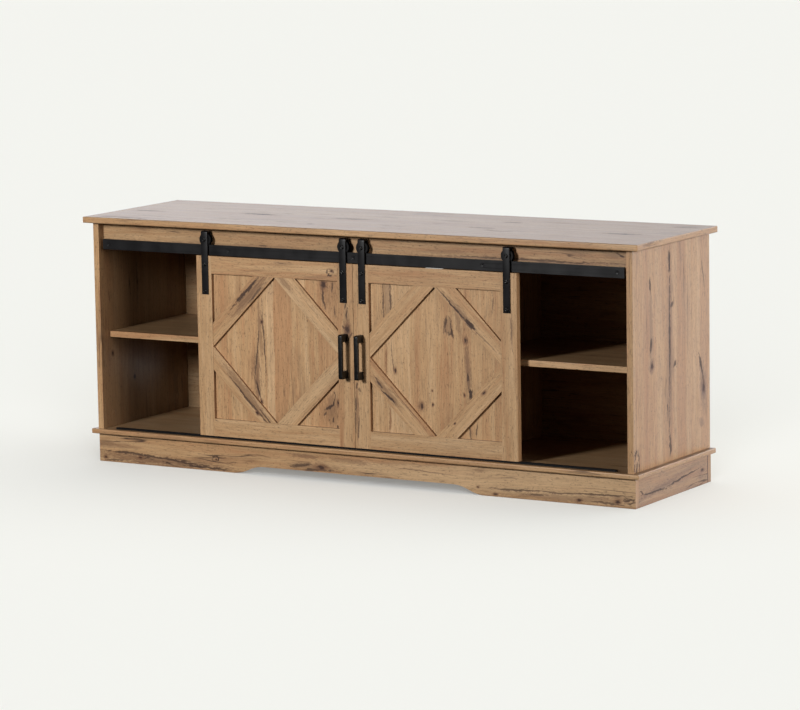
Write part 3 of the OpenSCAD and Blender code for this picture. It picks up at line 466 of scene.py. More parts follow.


# the marks listed for each board, by their kind
SIDE_SKIRT_MARKS = {
    "crack": ((-90, 27, 80, 2.8, -3, 0.85), (60, 35, 110, 2.4, 6, 0.85),
        (-150, 37, 14, 3.2, -30, 0.8), (189, 35, 3.2, 120, 0, 0.9)),
    "stain": ((-60, 30, 150, 13, 3, 0.8), (90, 50, 110, 7, 5, 0.5)),
    "knot": ((160, 36, 9, 5, 0, 1),)}
MARKS = {
    "left_skirt": SIDE_SKIRT_MARKS,
    "right_skirt": SIDE_SKIRT_MARKS,
    "top_board": {
        "crack": ((-115, 6, 34, 2.5, 3, 0.6), (-500, 90, 90, 2, 2, 0.5),
            (420, 120, 80, 2, -2, 0.5), (-210, -116, 60, 2, -2, 0.5), (-672, -24, 50, 12, 4, 0.4),
            (-375, 11, 62, 14, -3, 0.45), (-110, 8, 72, 10, 5, 0.45), (264, -36, 44, 9, 0, 0.35),
            (280, 89, 40, 10, 4, 0.35), (620, -20, 64, 14, 2, 0.4), (700, 150, 50, 9, 4, 0.4)),
        "stain": ((-672, -24, 48, 13, 4, 0.7), (-375, 11, 55, 17, -3, 0.75),
            (-110, 8, 60, 11, 5, 0.7), (264, -36, 40, 11, 0, 0.6), (280, 89, 35, 12, 4, 0.6),
            (625, -20, 52, 17, 2, 0.7), (700, 150, 45, 9, 4, 0.65)),
        "knot": ((-368, 14, 9, 6, 0, 1), (630, -23, 12, 8, 0, 1), (-150, -120, 10, 7, 0, 1))},
    "fascia_board": {
        "crack": ((690, 573, 17, 3.2, -24, 0.85), (-256, 550, 14, 2.4, 0, 0.6),
            (-198, 537, 10, 2.0, 0, 0.5), (90, 556, 60, 1.8, -1, 0.4),
            (470, 551, 260, 2.4, 0.4, 0.7)),
        "stain": ((676, 572, 40, 7, 0, 0.6), (-220, 543, 70, 7, -3, 0.6),
            (240, 560, 80, 8, 2, 0.5), (-350, 546, 420, 7, 0, 0.6), (420, 548, 420, 8, 0.5, 0.7))},
    "left_side_panel": {
        "crack": ((430, -40, 40, 2.6, 0, 0.8),),
        "stain": ((420, -40, 90, 9, 0, 0.7),),
        "knot": ((190, -60, 8, 4, 0, 1), (260, -150, 7, 4, 0, 1))},
    "right_side_panel": {
        "crack": ((335, 1, 262, 3.9, 0.6, 0.9), (540, 0, 36, 6.8, 1, 0.95),
            (441, 13, 10, 5.8, 42, 0.85), (302, 26, 13, 6.8, 40, 0.85),
            (206, -12, 12, 5.1, -12, 0.7), (118, 4, 32, 7.1, 0, 0.85),
            (494, -95, 22, 5.5, -4, 0.9), (357, -94, 26, 5.5, 5, 0.9),
            (284, 160, 40, 5.5, -22, 0.9), (246, 174, 26, 4.6, -10, 0.85),
            (88, -166, 22, 5, 4, 0.85), (490, 173, 60, 3.4, -13, 0.6)),
        "stain": ((330, 2, 270, 15, 0, 0.7), (400, -92, 120, 13.6, 0, 0.6),
            (235, 172, 80, 22.1, -6, 0.75), (147, 165, 16, 17.0, 0, 0.8)),
        "knot": ((312, -89, 12, 11, 0, 1), (226, 176, 18, 11, 0, 1)),
        "loop": ((96, -166, 30, 13, 0, 0.9),),
        "warm": ((330, 178, 900, 22, 0, 0.5), (330, 60, 900, 24, 0, 0.6),
            (330, -120, 900, 12, 0, 0.5)),
        "pale": ((330, -55, 900, 20, 0, 0.35), (330, 100, 900, 13, 0, 0.35))},
    "front_skirt": {
        "crack": ((-640, 27, 96, 3.4, -2, 0.8), (-500, 18, 90, 3.0, -5, 0.8),
            (-420, 8, 80, 3.6, -2, 0.8), (-690, 8, 40, 2.4, 2, 0.7), (420, 22, 70, 3.0, -1, 0.75),
            (640, 27, 90, 3.0, 2, 0.75), (660, 10, 60, 2.6, -1, 0.7), (-105, 27, 60, 3.0, 2, 0.8),
            (-545, 20, 200, 2.0, -3.2, 0.75), (-585, 22, 26, 3, 20, 0.7),
            (-533, 11, 16, 3.5, -6, 0.85), (-450, 10, 34, 4.0, -4, 0.9),
            (-155, 34, 38, 4, 8, 0.75), (549, 25, 190, 2.0, 1.2, 0.7), (480, 15, 30, 2.5, 4, 0.6),
            (716, 21, 20, 3.0, 14, 0.8), (180, 46, 110, 1.6, -1.5, 0.5)),
        "stain": ((-560, 15, 270, 15, -1.5, 1.0), (560, 14, 230, 10, 1, 0.6),
            (-110, 34, 90, 11, 0, 0.7), (-640, 16, 120, 13, -2, 0.85),
            (-470, 12, 120, 11, -3, 0.85), (-141, 58, 60, 7, -4, 0.8), (-17, 54, 90, 7, -3, 0.6),
            (-120, 33, 80, 11, 0, 0.7), (600, 15, 130, 9, 1, 0.6), (120, 60, 140, 4, 2, 0.4)),
        "knot": ((-714, 13, 7, 4, 0, 1), (-613, 18, 8, 4, 0, 1), (-393, 31, 3.5, 3, 0, 1),
            (-97, 34, 17, 7, 0, 1), (372, 9, 7, 4, 0, 1), (326, 22, 4, 3, 0, 1),
            (589, 12, 8, 4, 0, 1), (687, 16, 9, 5, 0, 1)),
        "loop": ((-582, 21, 13, 5, -3, 0.85), (-395, 32, 9, 6.5, 2, 0.9),
            (715, 19, 13, 6, 4, 0.8)),
        "pale": ((1500, 42, 1700, 42, 0, 0.6),)},
    "left_door_panel": {
        "crack": ((333, -251, 112, 2.6, -3, 0.75), (289, -272, 74, 2.8, 7, 0.75),
            (203, -268, 36, 4.0, -20, 0.85), (468, -80, 15, 3, 62, 0.85),
            (465, -80, 15, 3, -56, 0.85), (440, -83, 26, 3.2, 3, 0.85),
            (415, -80, 14, 2.4, -8, 0.7), (462, -58, 14, 2.4, 4, 0.7), (405, -54, 18, 2.2, 0, 0.7),
            (176, -72, 19, 4.5, 60, 0.9), (186, -60, 11, 3.6, 20, 0.9),
            (160, -84, 8, 3.0, 30, 0.75), (146, -62, 8, 3.4, 0, 0.8), (130, -50, 7, 3.4, 0, 0.8),
            (206, -56, 12, 2.4, -10, 0.7)),
        "stain": ((232, -271, 90, 13, -2, 0.95), (350, -262, 90, 8, -3, 0.8),
            (180, -65, 40, 17, 0, 0.5)),
        "knot": ((367, -255, 6, 3.5, 0, 1), (177, -260, 6, 4, 0, 1), (466, -82, 13, 8, 0, 1),
            (188, -48, 9, 4, 0, 1)),
        "brown": ((455, -70, 66, 36, 0, 0.35), (168, -66, 48, 34, 0, 0.45)),
        "warm": ((300, -204, 1200, 18, 0, 0.75), (300, -72, 1200, 30, 0, 0.55)),
        "pale": ((300, -233, 1200, 10.5, 0, 0.6),)},
    "right_door_panel": {
        "crack": ((440, 79, 56, 2.4, 0, 0.65), (440, 99, 60, 3.0, 0, 0.7),
            (300, 103, 50, 2.2, -4, 0.6), (372, 262, 16, 4.0, -10, 0.9),
            (398, 247, 14, 2.6, 6, 0.8), (380, 240, 22, 2.6, 4, 0.6), (270, 304, 12, 4.0, -4, 0.8),
            (231, 309, 18, 5.5, -3, 0.95), (143, 308, 24, 2.6, 0, 0.7),
            (150, 323, 22, 2.8, 6, 0.7), (440, 370, 26, 2.0, 3, 0.5)),
        "stain": ((440, 90, 90, 16, 0, 0.6), (386, 252, 24, 15, 0, 0.7),
            (292, 303, 82, 10, -4, 0.95), (400, 280, 60, 9, -10, 0.6)),
        "knot": ((275, 108, 8, 3.5, 0, 1), (356, 297, 8, 4.5, 0, 1), (229, 294, 5, 3.5, 0, 1),
            (196, 178, 10, 7, 0, 1), (234, 205, 3.5, 2.5, 0, 1), (201, 208, 4.5, 2.5, 0, 1)),
        "loop": ((388, 252, 19, 8.5, 0, 0.8),),
        "brown": ((296, 86, 52, 3.4, 0, 0.75), (158, 94, 40, 3.4, 0, 0.75),
            (462, 299, 20, 2.6, 0, 0.7))},
    "left_door_inner_stile": {
        "crack": ((404, -15, 22, 3.0, 6, 0.8), (420, -19, 12, 2.4, 20, 0.7),
            (366, -15, 22, 2.6, -8, 0.85), (350, -7, 12, 3.4, 30, 0.85),
            (368, -22, 8, 3.0, -40, 0.85), (466, -28, 30, 2.2, 0, 0.5)),
        "stain": ((378, -16, 52, 10, 0, 0.7),),
        "knot": ((363, -14, 15, 8, 0, 1),)},
    "right_door_inner_stile": {
        "crack": ((236, 10, 12, 3.6, 14, 0.7), (224, 16, 8, 3.4, -30, 0.6),
            (186, 5, 24, 2.4, 0, 0.8), (130, 12, 36, 2.2, 3, 0.75), (150, 3, 30, 1.8, -2, 0.6)),
        "stain": ((170, 8, 84, 6, 0, 0.75),)},
    "right_door_outer_stile": {
        "crack": ((384, 421, 34, 2.4, 2, 0.5),),
        "stain": ((388, 422, 60, 6, 0, 0.5),)},
    "left_door_top_rail": {
        "crack": ((-66, 492, 5, 2.2, 50, 0.9), (-196, 512, 12, 2.0, 0, 0.5)),
        "stain": ((-190, 511, 46, 6, 3, 0.5), (-96, 486, 60, 6, 3, 0.5)),
        "knot": ((-57, 500, 4.5, 3.5, 0, 1),),
        "loop": ((-61, 498, 9, 6.5, 0, 0.95),)},
    "left_door_upper_braces": {
        "crack": ((LEFT + 46, 154, 74, 4.6, 0, 0.9), (LEFT + 60, 134, 40, 3.0, 2, 0.6),
            (20, 152, 60, 1.6, 1, 0.25)),
        "stain": ((LEFT + 44, 142, 100, 20, 0, 0.95), (95, 138, 40, 10, 0, 0.75)),
        "pale": ((20, 132, 200, 9, 0, 0.4),)},
    "left_door_lower_braces": {
        "crack": ((LEFT + 34, 146, 100, 3.4, 1, 0.8), (LEFT + 92, 138, 30, 3.4, 4, 0.75)),
        "stain": ((LEFT + 20, 138, 130, 15, 0, 0.85),),
        "knot": ((LEFT + 69, 150, 7, 4, 0, 1),),
        "pale": ((10, 140, 200, 16, 0, 0.35),)},
    "right_door_upper_braces": {
        "crack": ((56, 131, 70, 3.6, -1, 0.9), (0, 135, 24, 6.5, -3, 0.95),
            (-60, 138, 50, 2.0, -3, 0.4)),
        "stain": ((30, 135, 76, 11, 0, 0.85),)},
    "right_door_lower_braces": {
        "crack": ((LEFT - 26, 155, 30, 4.4, -9, 0.95), (LEFT - 66, 151, 20, 3.0, 6, 0.8),
            (LEFT + 20, 134, 90, 2.2, 1, 0.5)),
        "stain": ((LEFT - 40, 150, 70, 12, 0, 0.75),),
        "knot": ((-46, 138, 8, 4, 0, 1), (63, 138, 4, 3, 0, 1))},
}

# node, origin of its print, grain, width and thickness axes, seed, tone, rustic; the tone is lowered
# as painted shade for the fascia under the top board's overhang and for the dividers and back panels
# in the bays
BOARDS = [
    ("top_board", (0, 0, TOP_FACE), X, Y, Z, 1.3, 0.95, 1.0),
    ("base_board", (0, 0, BASE_FACE), X, Y, Z, 4.1, 0.97, 0.9),
    # painted shade: the fascia's tone is lowered for the shade of the top board's overhang
    ("fascia_board", (0, FASCIA_FACE, 0), X, Z, Y, 7.7, 0.84, 1.2),
    ("left_side_panel", (-SIDE_FACE, 0, 0), Z, Y, MINUS_X, 9.2, 1.0, 1.0),
    ("right_side_panel", (SIDE_FACE, 0, 0), Z, Y, X, 12.6, 0.95, 0.9),
    # painted shade: the dividers and back panels inside the bays have a lowered tone
    ("left_divider", (0, 0, 0), Z, Y, X, 15.9, 0.6, 1.0),
    ("right_divider", (0, 0, 0), Z, Y, X, 18.4, 0.6, 1.0),
    ("left_back_panel", (0, 0, 0), X, Z, Y, 21.1, 0.58, 1.2),
    ("centre_back_panel", (0, 0, 0), X, Z, Y, 23.8, 0.58, 1.2),
    ("right_back_panel", (0, 0, 0), X, Z, Y, 26.2, 0.58, 1.2),
    ("left_shelf", (0, 0, SHELF_FACE), X, Y, Z, 29.5, 1.0, 0.7),
    ("centre_shelf", (0, 0, SHELF_FACE), X, Y, Z, 31.4, 1.0, 0.7),
    ("right_shelf", (0, 0, SHELF_FACE), X, Y, Z, 33.7, 1.0, 0.7),
    ("front_skirt", (0, SKIRT_FACE, 0), X, Z, Y, 36.3, 0.96, 1.35),
    ("rear_skirt", (0, 0, 0), X, Z, Y, 39.8, 0.86, 2.0),
    ("left_skirt", (-SIDE_SKIRT_FACE, 0, 0), Y, Z, MINUS_X, 42.2, 0.80, 1.6),
    ("right_skirt", (SIDE_SKIRT_FACE, 0, 0), Y, Z, X, 45.6, 0.80, 1.6),
    ("plinth_crossbar", (0, 0, 0), Y, Z, X, 48.1, 0.95, 1.0),
    ("left_door_panel", (0, PANEL_FACE, 0), Z, X, Y, 51.7, 1.06, 0.6),
    ("right_door_panel", (0, PANEL_FACE, 0), Z, X, Y, 54.9, 1.02, 0.6),
    ("left_door_outer_stile", (0, DOOR_FACE, 0), Z, X, Y, 57.3, 0.95, 0.4),
    ("left_door_inner_stile", (0, DOOR_FACE, 0), Z, X, Y, 60.6, 0.95, 0.6),
    ("right_door_outer_stile", (0, DOOR_FACE, 0), Z, X, Y, 63.2, 0.94, 0.4),
    ("right_door_inner_stile", (0, DOOR_FACE, 0), Z, X, Y, 66.4, 0.96, 0.6),
    ("left_door_top_rail", (0, DOOR_FACE, 0), X, Z, Y, 69.1, 0.97, 0.4),
    ("right_door_top_rail", (0, DOOR_FACE, 0), X, Z, Y, 72.8, 0.93, 0.4),
    ("left_door_bottom_rail", (0, DOOR_FACE, 0), X, Z, Y, 75.5, 0.96, 0.4),
    ("right_door_bottom_rail", (0, DOOR_FACE, 0), X, Z, Y, 78.9, 0.90, 0.4),
]
BRACES = (("left_door_upper_braces", -1, 81.2), ("left_door_lower_braces", -1, 84.7),
          ("right_door_upper_braces", 1, 87.9), ("right_door_lower_braces", 1, 91.3))
ROUNDED = ("top_board", "base_board")
# painted shade: which way the darkened faces look, and the share of their tone that is left
PAINTED_SHADE_FACES = {"left_side_panel": (X, 0.5), "right_side_panel": (MINUS_X, 0.6),
          "left_shelf": (Z, 0.55), "centre_shelf": (Z, 0.55), "right_shelf": (Z, 0.55),
          "base_board": (Z, 0.62), "top_board": (Z, 0.55)}
# painted shade: on these boards the faces that don't look to the front are painted brown
SHADE_PAINTED_EDGE_BOARDS = ("left_door_outer_stile", "right_door_inner_stile", "left_door_top_rail",
               "right_door_top_rail", "left_door_bottom_rail", "right_door_bottom_rail")
FOOTED = ("front_skirt", "rear_skirt", "left_skirt", "right_skirt")
ARRIS = 0.6 * MM
BRACE_ARRIS = 0.4 * MM
RAIL_ARRIS = 0.5 * MM
CHANNEL_ARRIS = 0.3 * MM


def ease_edges(node, width=ARRIS, segments=2):
    """Breaks a carried-over board's sharp edges, as the edge banding does."""
    weld = node.modifiers.new("weld", "WELD")
    weld.merge_threshold = 1e-5
    bevel = node.modifiers.new("arris", "BEVEL")
    bevel.width = width
    bevel.segments = segments
    bevel.limit_method = "ANGLE"
    bevel.angle_limit = math.radians(50)
    bevel.harden_normals = True


def finish_node(name, material):
    """Puts one material on a carried-over node."""
    mesh = NODES[name].data
    mesh.materials.clear()
    mesh.materials.append(material)


for board, origin, along, across, thick, seed, tone, rustic in BOARDS:
    foot = FLOOR_Z if board in FOOTED else None
    finish_node(board, oak_decor("oak_decor_embossed_foil_" + board,
                                 on_face(origin, along, across, thick, seed),
                                 MARKS.get(board, {}), tone, rustic, foot, PAINTED_SHADE_FACES.get(board),
                                 board in SHADE_PAINTED_EDGE_BOARDS))
    if board not in ROUNDED:
        ease_edges(NODES[board])
# the braces' side faces carry the painted brown shade as well
for board, side, seed in BRACES:
    finish_node(board, oak_decor("oak_decor_embossed_foil_" + board, on_brace(side, seed),
                                 MARKS[board], 0.98, 0.5, shade_painted_edges=True))
    ease_edges(NODES[board], BRACE_ARRIS)
for node in ("track_rail", "track_spacers"):
    finish_node(node, COAT)
    ease_edges(NODES[node], RAIL_ARRIS)
for node in ("guide_channel", "guide_centre_stop"):
    finish_node(node, NYLON)
    ease_edges(NODES[node], CHANNEL_ARRIS, 1)
finish_node("cam_bolts", ZINC)

# ---------------------------------------------------------------- mesh builders
def new_piece(name, bm, material, body, replaced=(), smooth_angle=40):
    """Makes a piece of a bmesh: its material, its body and what it stands for."""
    mesh = bpy.data.meshes.new(name)
    bmesh.ops.recalc_face_normals(bm, faces=bm.faces)
    for edge in bm.edges:
        bend = edge.calc_face_angle(math.pi) if len(edge.link_faces) == 2 else math.pi
        edge.smooth = bend < math.radians(smooth_angle)
    for face in bm.faces:
        face.smooth = True
    bm.to_mesh(mesh)
    bm.free()
    mesh.materials.append(material)
    piece = bpy.data.objects.new(name, mesh)
    bpy.context.scene.collection.objects.link(piece)
    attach(piece, body)
    if replaced:
        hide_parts(*replaced)
    return piece


def turn_outline(shape, angle):
    """How far out a ring reaches at an angle, as a share of its radius."""
    if shape == "hex":
        return math.cos(math.pi / 6) / math.cos((angle % (math.pi / 3)) - math.pi / 6)
    if shape == "cross":
        lean = abs((angle + math.pi / 4) % (math.pi / 2) - math.pi / 4)
        return min(1 / math.cos(lean), 0.26 / max(math.sin(lean), 1e-6))
    return 1.0


def turned(bm, centre, axis, rings, count=36, closed=True):
    """Adds a turned body: rings are (radius, distance along the axis, outline), and a ring with
    no outline is round."""
    axis = Vector(axis)
    side = Vector(Z) if abs(axis.z) < 0.5 else Vector(X)
    other = axis.cross(side)
    loops = []
    for radius, along, shape in ((*ring, "round")[:3] for ring in rings):
        loop = []
        for i in range(count):
            angle = 2 * math.pi * i / count
            reach = radius * turn_outline(shape, angle)
            point = side * (math.cos(angle) * reach) + other * (math.sin(angle) * reach)
            loop.append(bm.verts.new(Vector(centre) + axis * along + point))
        loops.append(loop)
    for first, second in zip(loops, loops[1:] + ([loops[0]] if not closed else [])):
        for i in range(count):
            j = (i + 1) % count
            bm.faces.new((first[i], first[j], second[j], second[i]))
    if closed:
        bm.faces.new(loops[0])
        bm.faces.new(list(reversed(loops[-1])))


def arc(centre, radius, start, stop, steps):
    """Points of an arc in a plane, by its angles in degrees."""
    points = []
    for i in range(steps + 1):
        a = math.radians(start + (stop - start) * i / steps)
        points.append((centre[0] + radius * math.cos(a), centre[1] + radius * math.sin(a)))
    return points


def bar(bm, outline, x0, x1, round_edge, segments=2):
    """Adds a bar along X: an outline in the Y-Z plane, with its sharp edges rounded."""
    low = [bm.verts.new((x0, y, z)) for y, z in outline]
    high = [bm.verts.new((x1, y, z)) for y, z in outline]
    made = [bm.faces.new(low), bm.faces.new(list(reversed(high)))]
    for i in range(len(outline)):
        j = (i + 1) % len(outline)
        made.append(bm.faces.new((low[i], low[j], high[j], high[i])))
    bmesh.ops.recalc_face_normals(bm, faces=made)
    sharp = set()
    for face in made:
        for edge in face.edges:
            if edge.calc_face_angle(0) > math.radians(40):
                sharp.add(edge)
    bmesh.ops.bevel(bm, geom=list(sharp), offset=round_edge, segments=segments,
                    profile=0.5, affect="EDGES", clamp_overlap=True)


# ---------------------------------------------------------------- track and wall fixings
HEX_DEEP = 1.6 * MM
TRACK_BOLTS = 5
TRACK_SHANK = 2.4 * MM


def track_bolts():
    """Flat-head socket bolts, sunk flush into the track bar."""
    low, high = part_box("track_bolts")
    bm = bmesh.new()
    radius = (high.z - low.z) / 2
    middle = (low.z + high.z) / 2
    for i in range(TRACK_BOLTS):
        x = low.x + radius + (high.x - low.x - 2 * radius) * i / (TRACK_BOLTS - 1)
        rings = ((0.9 * MM, 1.9 * MM, "hex"), (1.7 * MM, 1.8 * MM, "hex"),
                 (1.7 * MM, 0.15 * MM, "hex"), (2.1 * MM, 0.0), (radius - 0.5 * MM, 0.0),
                 (radius, 0.5 * MM), (radius, 2.4 * MM), (TRACK_SHANK, 2.5 * MM),
                 (TRACK_SHANK, high.y - low.y - 0.6 * MM), (1.6 * MM, high.y - low.y))
        turned(bm, (x, low.y, middle), Y, rings)
    new_piece("track_bolt_heads", bm, COAT, "cabinet", ("track_bolts",))


# ---------------------------------------------------------------- door hardware
STRAP_T = 3 * MM             # the strap's thickness
STRAP_BEND = 4 * MM
TAIL_BELOW_AXLE = 10 * MM    # how far the strap comes down behind its wheel
HANDLE_BAR = 8 * MM
HANDLE_POST = 18 * MM
HANDLE_CORNER = 5 * MM       # outer corners
HANDLE_INSIDE = 2 * MM       # inner corners
BUTTON_R = 5 * MM
BUTTON_HIGH = 3 * MM
SOCKET_R = 2 * MM
SOCKET_RIM = 2.5 * MM
DOME_STEPS = 5
STRAP_BOLT_R = 3 * MM
AXLE_BOLT_R = 4 * MM
NUT_R = 6.3 * MM             # over the corners
NUT_HALF_HIGH = 5.5 * MM     # over the flats
AXLE_GAP = 0.06 * MM         # between an axle bolt and its wheel
GROOVE_DEEP = 4 * MM
WHEEL_FLANGE = 2 * MM
SCREW_HEAD_R = 4 * MM
SCREW_SHANK = 2 * MM
PIN_FLANGE_R = 4 * MM
PIN_R = 2.5 * MM


def strap(door, place):
    """A flat strap that hooks over its wheel, with two rolled bends."""
    node = f"{door}_{place}_strap"
    low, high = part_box(node)
    wheel_low, wheel_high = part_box(f"{door}_{place}_wheel")
    tail = (wheel_low.z + wheel_high.z) / 2 - TAIL_BELOW_AXLE
    inner = STRAP_BEND - STRAP_T
    top = high.z - STRAP_BEND
    outline = [(low.y, low.z)]
    outline += arc((low.y + STRAP_BEND, top), STRAP_BEND, 180, 90, 8)
    outline += arc((high.y - STRAP_BEND, top), STRAP_BEND, 90, 0, 8)
    outline += [(high.y, tail), (high.y - STRAP_T, tail)]
    outline += arc((high.y - STRAP_BEND, top), inner, 0, 90, 4)
    outline += arc((low.y + STRAP_BEND, top), inner, 90, 180, 4)
    outline += [(low.y + STRAP_T, low.z)]
    bm = bmesh.new()
    bar(bm, outline, low.x, high.x, 0.6 * MM)
    new_piece(f"{node}_bent", bm, COAT, door, (node,))


def button_bolt(bm, x, z, head_y, end_y, shank, nut_y=None):
    """A button-head socket bolt seen from the front, with its hex nut behind."""
    rings = [(1.2 * MM, 0.3 * MM + HEX_DEEP, "hex"), (SOCKET_R, 0.2 * MM + HEX_DEEP, "hex"),
             (SOCKET_R, 0.25 * MM, "hex"), (SOCKET_RIM, 0.0)]
    for step in range(1, DOME_STEPS + 1):
        lean = math.radians(90 * step / DOME_STEPS)
        rings.append((SOCKET_RIM + (BUTTON_R - SOCKET_RIM) * math.sin(lean),
                      BUTTON_HIGH * 0.8 * (1 - math.cos(lean))))
    end = end_y - head_y
    rings += [(BUTTON_R, BUTTON_HIGH), (shank, BUTTON_HIGH), (shank, end - 0.5 * MM),
              (shank - 0.6 * MM, end)]
    turned(bm, (x, head_y, z), Y, rings)
    if nut_y is not None:
        deep = end_y - nut_y
        rings = [(NUT_R - 0.6 * MM, 0.0), (NUT_R, 0.4 * MM, "hex"),
                 (NUT_R, deep - 1.0 * MM, "hex"), (NUT_R - 0.9 * MM, deep - 0.6 * MM),
                 (shank + 0.3 * MM, deep - 0.6 * MM)]
        turned(bm, (x, nut_y, z), Y, rings)


def door_bolts(door, strap_xs):
    """Two bolts with nuts that hold each strap to the door, and one that each wheel turns on."""
    low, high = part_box(f"{door}_strap_bolts")
    door_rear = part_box(f"{door}_inner_stile")[1].y
    bm = bmesh.new()
    for x in strap_xs:
        for z in (low.z + NUT_HALF_HIGH, high.z - NUT_HALF_HIGH):
            button_bolt(bm, x, z, low.y, high.y, STRAP_BOLT_R, door_rear)
    new_piece(f"{door}_strap_bolts_and_nuts", bm, OXIDE, door,
              (f"{door}_strap_bolts",))
    low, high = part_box(f"{door}_axle_bolts")
    bm = bmesh.new()
    for x in strap_xs:
        button_bolt(bm, x, (low.z + high.z) / 2, low.y, high.y, AXLE_BOLT_R)
    new_piece(f"{door}_axle_bolts_turned", bm, OXIDE, door,
              (f"{door}_axle_bolts",))


def wheel(door, place):
    """A grooved nylon roller with flanges, a dished web and a raised hub."""
    node = f"{door}_{place}_wheel"
    low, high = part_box(node)
    centre = ((low.x + high.x) / 2, low.y, (low.z + high.z) / 2)
    r = (high.x - low.x) / 2
    w = high.y - low.y
    groove, bore = r - GROOVE_DEEP, AXLE_BOLT_R + AXLE_GAP
    flange = WHEEL_FLANGE
    half = [(bore, 0.3 * MM), (bore + 0.4 * MM, 0.0), (6.4 * MM, 0.0), (6.8 * MM, 0.9 * MM),
            (10.6 * MM, 0.9 * MM), (11.2 * MM, 0.0), (r - 0.6 * MM, 0.0), (r, 0.6 * MM),
            (r, flange - 0.5 * MM), (r - 0.5 * MM, flange), (groove, flange)]
    rings = half + [(a, w - b) for a, b in reversed(half)]
    bm = bmesh.new()
    turned(bm, centre, Y, rings, 64, closed=False)
    new_piece(f"{node}_turned", bm, NYLON, node, (node,), 30)


def handle(door):
    """A square-section pull with two posts, its outer corners well rounded."""
    node = f"{door}_handle"
    low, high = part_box(node)
    corner, inside = HANDLE_CORNER, HANDLE_INSIDE
    bar_y = low.y + HANDLE_BAR
    z0, z1 = low.z + HANDLE_POST, high.z - HANDLE_POST
    outline = [(high.y, low.z)]
    outline += arc((low.y + corner, low.z + corner), corner, 270, 180, 6)
    outline += arc((low.y + corner, high.z - corner), corner, 180, 90, 6)
    outline += [(high.y, high.z), (high.y, z1)]
    outline += arc((bar_y + inside, z1 - inside), inside, 90, 180, 4)
    outline += arc((bar_y + inside, z0 + inside), inside, 180, 270, 4)
    outline += [(high.y, z0)]
    bm = bmesh.new()
    bar(bm, outline, low.x, high.x, 1.1 * MM, 3)
    new_piece(f"{node}_pull", bm, OXIDE, door, (node,))


def handle_screws(door):
    """Pan-head cross-recess screws through the stile from behind."""
    node = f"{door}_handle_screws"
    low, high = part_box(node)
    radius = SCREW_HEAD_R
    bm = bmesh.new()
    for z in (low.z + radius, high.z - radius):
        rings = [(0.5 * MM, 1.3 * MM, "cross"), (2.0 * MM, 0.35 * MM, "cross"),
                 (2.2 * MM, 0.1 * MM, "cross"), (2.6 * MM, 0.1 * MM), (3.4 * MM, 0.4 * MM),
                 (radius, 1.2 * MM), (radius, 2.0 * MM), (SCREW_SHANK, 2.0 * MM),
                 (SCREW_SHANK, high.y - low.y - 1 * MM), (1 * MM, high.y - low.y)]
        turned(bm, ((low.x + high.x) / 2, high.y, z), (0, -1, 0), rings, 48)
    new_piece(f"{node}_cross", bm, ZINC, door, (node,))


def guide_pins(door):
    """Nylon pins with a flange under the door and a rounded nose in the channel."""
    node = f"{door}_guide_pins"
    low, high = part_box(node)
    flange, pin = PIN_FLANGE_R, PIN_R
    under_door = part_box(f"{door}_bottom_rail")[0].z - low.z
    tall = high.z - low.z
    bm = bmesh.new()
    for x in (low.x + flange, high.x - flange):
        rings = [(1.3 * MM, 0), (2.1 * MM, 0.3 * MM), (pin, 1.0 * MM), (pin, under_door),
                 (flange - 0.2 * MM, under_door), (flange, under_door + 0.2 * MM),
                 (flange, under_door + 0.5 * MM), (pin, under_door + 0.5 * MM),
                 (pin, tall - 0.5 * MM), (pin - 0.5 * MM, tall)]
        turned(bm, (x, (low.y + high.y) / 2, low.z), Z, rings)
    new_piece(f"{node}_turned", bm, NYLON, door, (node,))


# ---------------------------------------------------------------- cabinet fittings
SHELF_GAP = 1 * MM           # between a shelf's end and the board that holds it
CAM_R = 7.5 * MM
CAM_DEEP = 12 * MM
CAM_SETBACK = 45 * MM        # of the front cams in the dividers
CAP_R = 9 * MM


def shelf_pins():
    """Plated shelf pins, one end in the board and the other under the shelf."""
    low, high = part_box("shelf_pins")
    pin = (high.z - low.z) / 2
    bm = bmesh.new()
    for shelf in ("left_shelf", "centre_shelf", "right_shelf"):
        shelf_low, shelf_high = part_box(shelf)
        for face, way in ((shelf_low.x - SHELF_GAP, 1), (shelf_high.x + SHELF_GAP, -1)):
            for y in (low.y + pin, high.y - pin):
                rings = [(pin - 0.5 * MM, -6.0 * MM), (pin, -5.4 * MM), (pin, 0.0),
                         (pin, 7.4 * MM), (pin - 0.6 * MM, 8.0 * MM)]
                turned(bm, (face, y, (low.z + high.z) / 2), (way, 0, 0), rings, 32)
    new_piece("shelf_pins_plated", bm, ZINC, "cabinet", ("shelf_pins",))


